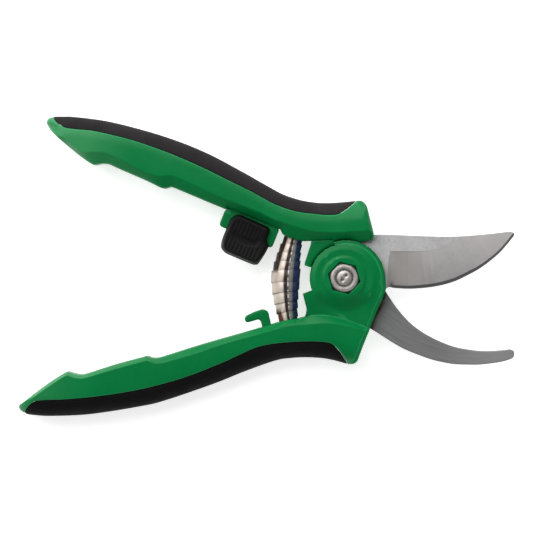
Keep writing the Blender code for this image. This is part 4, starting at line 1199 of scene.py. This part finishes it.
def lock_button(finish):
    """Thumb slider with flared walls, fine ribs above and below and a smooth dished smile between."""
    outline = flow(BUTTON_LINE + BUTTON_LINE[:1], 0.5)
    outline[-1] = outline[0]
    centre = np.array(BUTTON_CENTRE)

    def top(points):
        to_edge = reach(points, outline)
        flank = BUTTON_LOW + 0.9 + 3.1 * np.clip(to_edge, 0.0, 1.5)
        shift = points - centre
        along = shift[:, 0] * SLIDE[0] + shift[:, 1] * SLIDE[1]
        across = -shift[:, 0] * SLIDE[1] + shift[:, 1] * SLIDE[0]
        dish = 0.5 * np.exp(-(across / 5.0) ** 2)
        ribs = 0.09 * (0.5 + 0.5 * np.cos(2 * np.pi * along / 1.5))
        middle = -0.7 + 0.05 * along ** 2
        smile = np.exp(-((across - middle) / 1.5) ** 4)
        fine = (1 - smooth_step(np.abs(along), 6.2, 6.9)) * smooth_step(np.abs(across - middle), 1.6, 2.1)
        fine *= smooth_step(to_edge, 1.6, 2.3)
        smile *= 0.22 * (1 - smooth_step(np.abs(along), 4.6, 5.8))
        face = BUTTON_HIGH - 0.35 - dish - ribs * fine - smile
        blend = np.minimum(flank, face)
        return blend - 0.25 * np.exp(-((flank - face) / 0.5) ** 2) - fillet(to_edge, 0.25)

    thing = solid("lock_button_pad", [outline], one_region(outline), {1: (constant(BUTTON_LOW), top)},
                  finish, step=0.26, rings=(0.08, 0.2, 0.42, 0.7))
    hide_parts("lock_button")
    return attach(thing, "lock")


# ================================================================ studio

def studio_floor(finish):
    corners = ((-1, -1), (1, -1), (1, 1), (-1, 1))
    mesh = bpy.data.meshes.new("studio_floor")
    mesh.from_pydata([(x * FLOOR_HALF, y * FLOOR_HALF, FLOOR_LEVEL) for x, y in corners], [], [(0, 1, 2, 3)])
    mesh.materials.append(finish)
    floor = bpy.data.objects.new("studio_floor", mesh)
    bpy.context.scene.collection.objects.link(floor)


def lamp(name, place, size, power):
    """A rectangular light that faces the pivot."""
    light = bpy.data.lights.new(name, "AREA")
    light.shape = "RECTANGLE"
    light.size, light.size_y = size
    light.energy = power
    thing = bpy.data.objects.new(name, light)
    bpy.context.scene.collection.objects.link(thing)
    thing.location = place
    thing.rotation_euler = (-Vector(place)).to_track_quat("-Z", "Y").to_euler()
    return thing


def lights():
    lamp("key", (-0.85, 1.55, 1.6), (3.0, 3.0), 98.0)
    lamp("back_card", (0.1, 2.4, 0.4), (4.0, 0.7), 14.0)
    fill = lamp("fill", (0.9, -1.8, 1.5), (2.4, 2.4), 17.0)
    fill.visible_glossy = False


def sky():
    """Soft light from all round, brighter towards the horizon."""
    world = bpy.data.worlds.new("studio")
    world.use_nodes = True
    nodes = world.node_tree.nodes
    links = world.node_tree.links
    split = nodes.new("ShaderNodeSeparateXYZ")
    links.new(nodes.new("ShaderNodeTexCoord").outputs["Generated"], split.inputs["Vector"])
    level = nodes.new("ShaderNodeMapRange")
    links.new(split.outputs["Z"], level.inputs["Value"])
    limits = {"From Min": SKY_LOW, "From Max": SKY_HIGH, "To Min": 1.0, "To Max": SKY_TOP_LIGHT}
    for socket, value in limits.items():
        level.inputs[socket].default_value = value
    background = nodes["Background"]
    links.new(level.outputs["Result"], background.inputs["Strength"])
    background.inputs["Color"].default_value = (1.0, 1.0, 1.0, 1.0)
    bpy.context.scene.world = world
    bpy.context.scene.view_settings.view_transform = "Standard"


def camera():
    """Straight down onto the pruner, which fills most of the width."""
    data = bpy.data.cameras.new("camera")
    view = bpy.data.objects.new("camera", data)
    bpy.context.scene.collection.objects.link(view)
    data.sensor_width = SENSOR
    data.lens = SENSOR * CAMERA_DISTANCE / SHOWN_WIDTH
    data.clip_end = 20.0
    view.location = (-0.0302, 0.0045, 0.012 + CAMERA_DISTANCE)
    bpy.context.scene.camera = view


def main():
    green = green_nylon()
    finishes = {"black_nylon": black_nylon(), "plated_steel": plated_steel(), "bronze": bronze()}
    inner = np.concatenate([upper_inner(), nose_roof(), flow(UPPER_NOSE)[:7]])
    upper = Handle(UPPER_OUTER, UPPER_SEAM, UPPER_TIP, inner, UPPER_CREASE)
    lower = Handle(LOWER_OUTER, LOWER_SEAM, LOWER_TIP, flow(LOWER_INNER), LOWER_CREASE)
    upper_handle(upper, green)
    lower_handle(lower, green)
    # One rubber for both grips; the upper copy is painted lighter and the lower one darker, as painted light
    # and shade.
    grip("upper_grip_skin", upper, 1, "upper_grip", "upper",
         soft_grip("soft_grip_upper", (0.0155, 0.014, 0.0145), (0.0205, 0.0188, 0.0193)))
    grip("lower_grip_skin", lower, -1, "lower_grip", "lower",
         soft_grip("soft_grip", (0.0048, 0.0046, 0.0046), (0.0066, 0.0063, 0.0063)))
    cutting_blade(cutting_steel())
    counter_blade(counter_steel())
    pivot_nut(finishes["plated_steel"])
    pivot_bolt(finishes["plated_steel"])
    volute_spring(spring_steel())
    lock_button(finishes["black_nylon"])
    for row in frame["record"]["subparts"]:
        thing = frame["nodes"][row["node"]]
        if row["material_slot"] in finishes and not thing.hide_render:
            thing.data.materials.clear()
            thing.data.materials.append(finishes[row["material_slot"]])
    studio_floor(floor_finish())
    lights()
    sky()
    camera()


main()
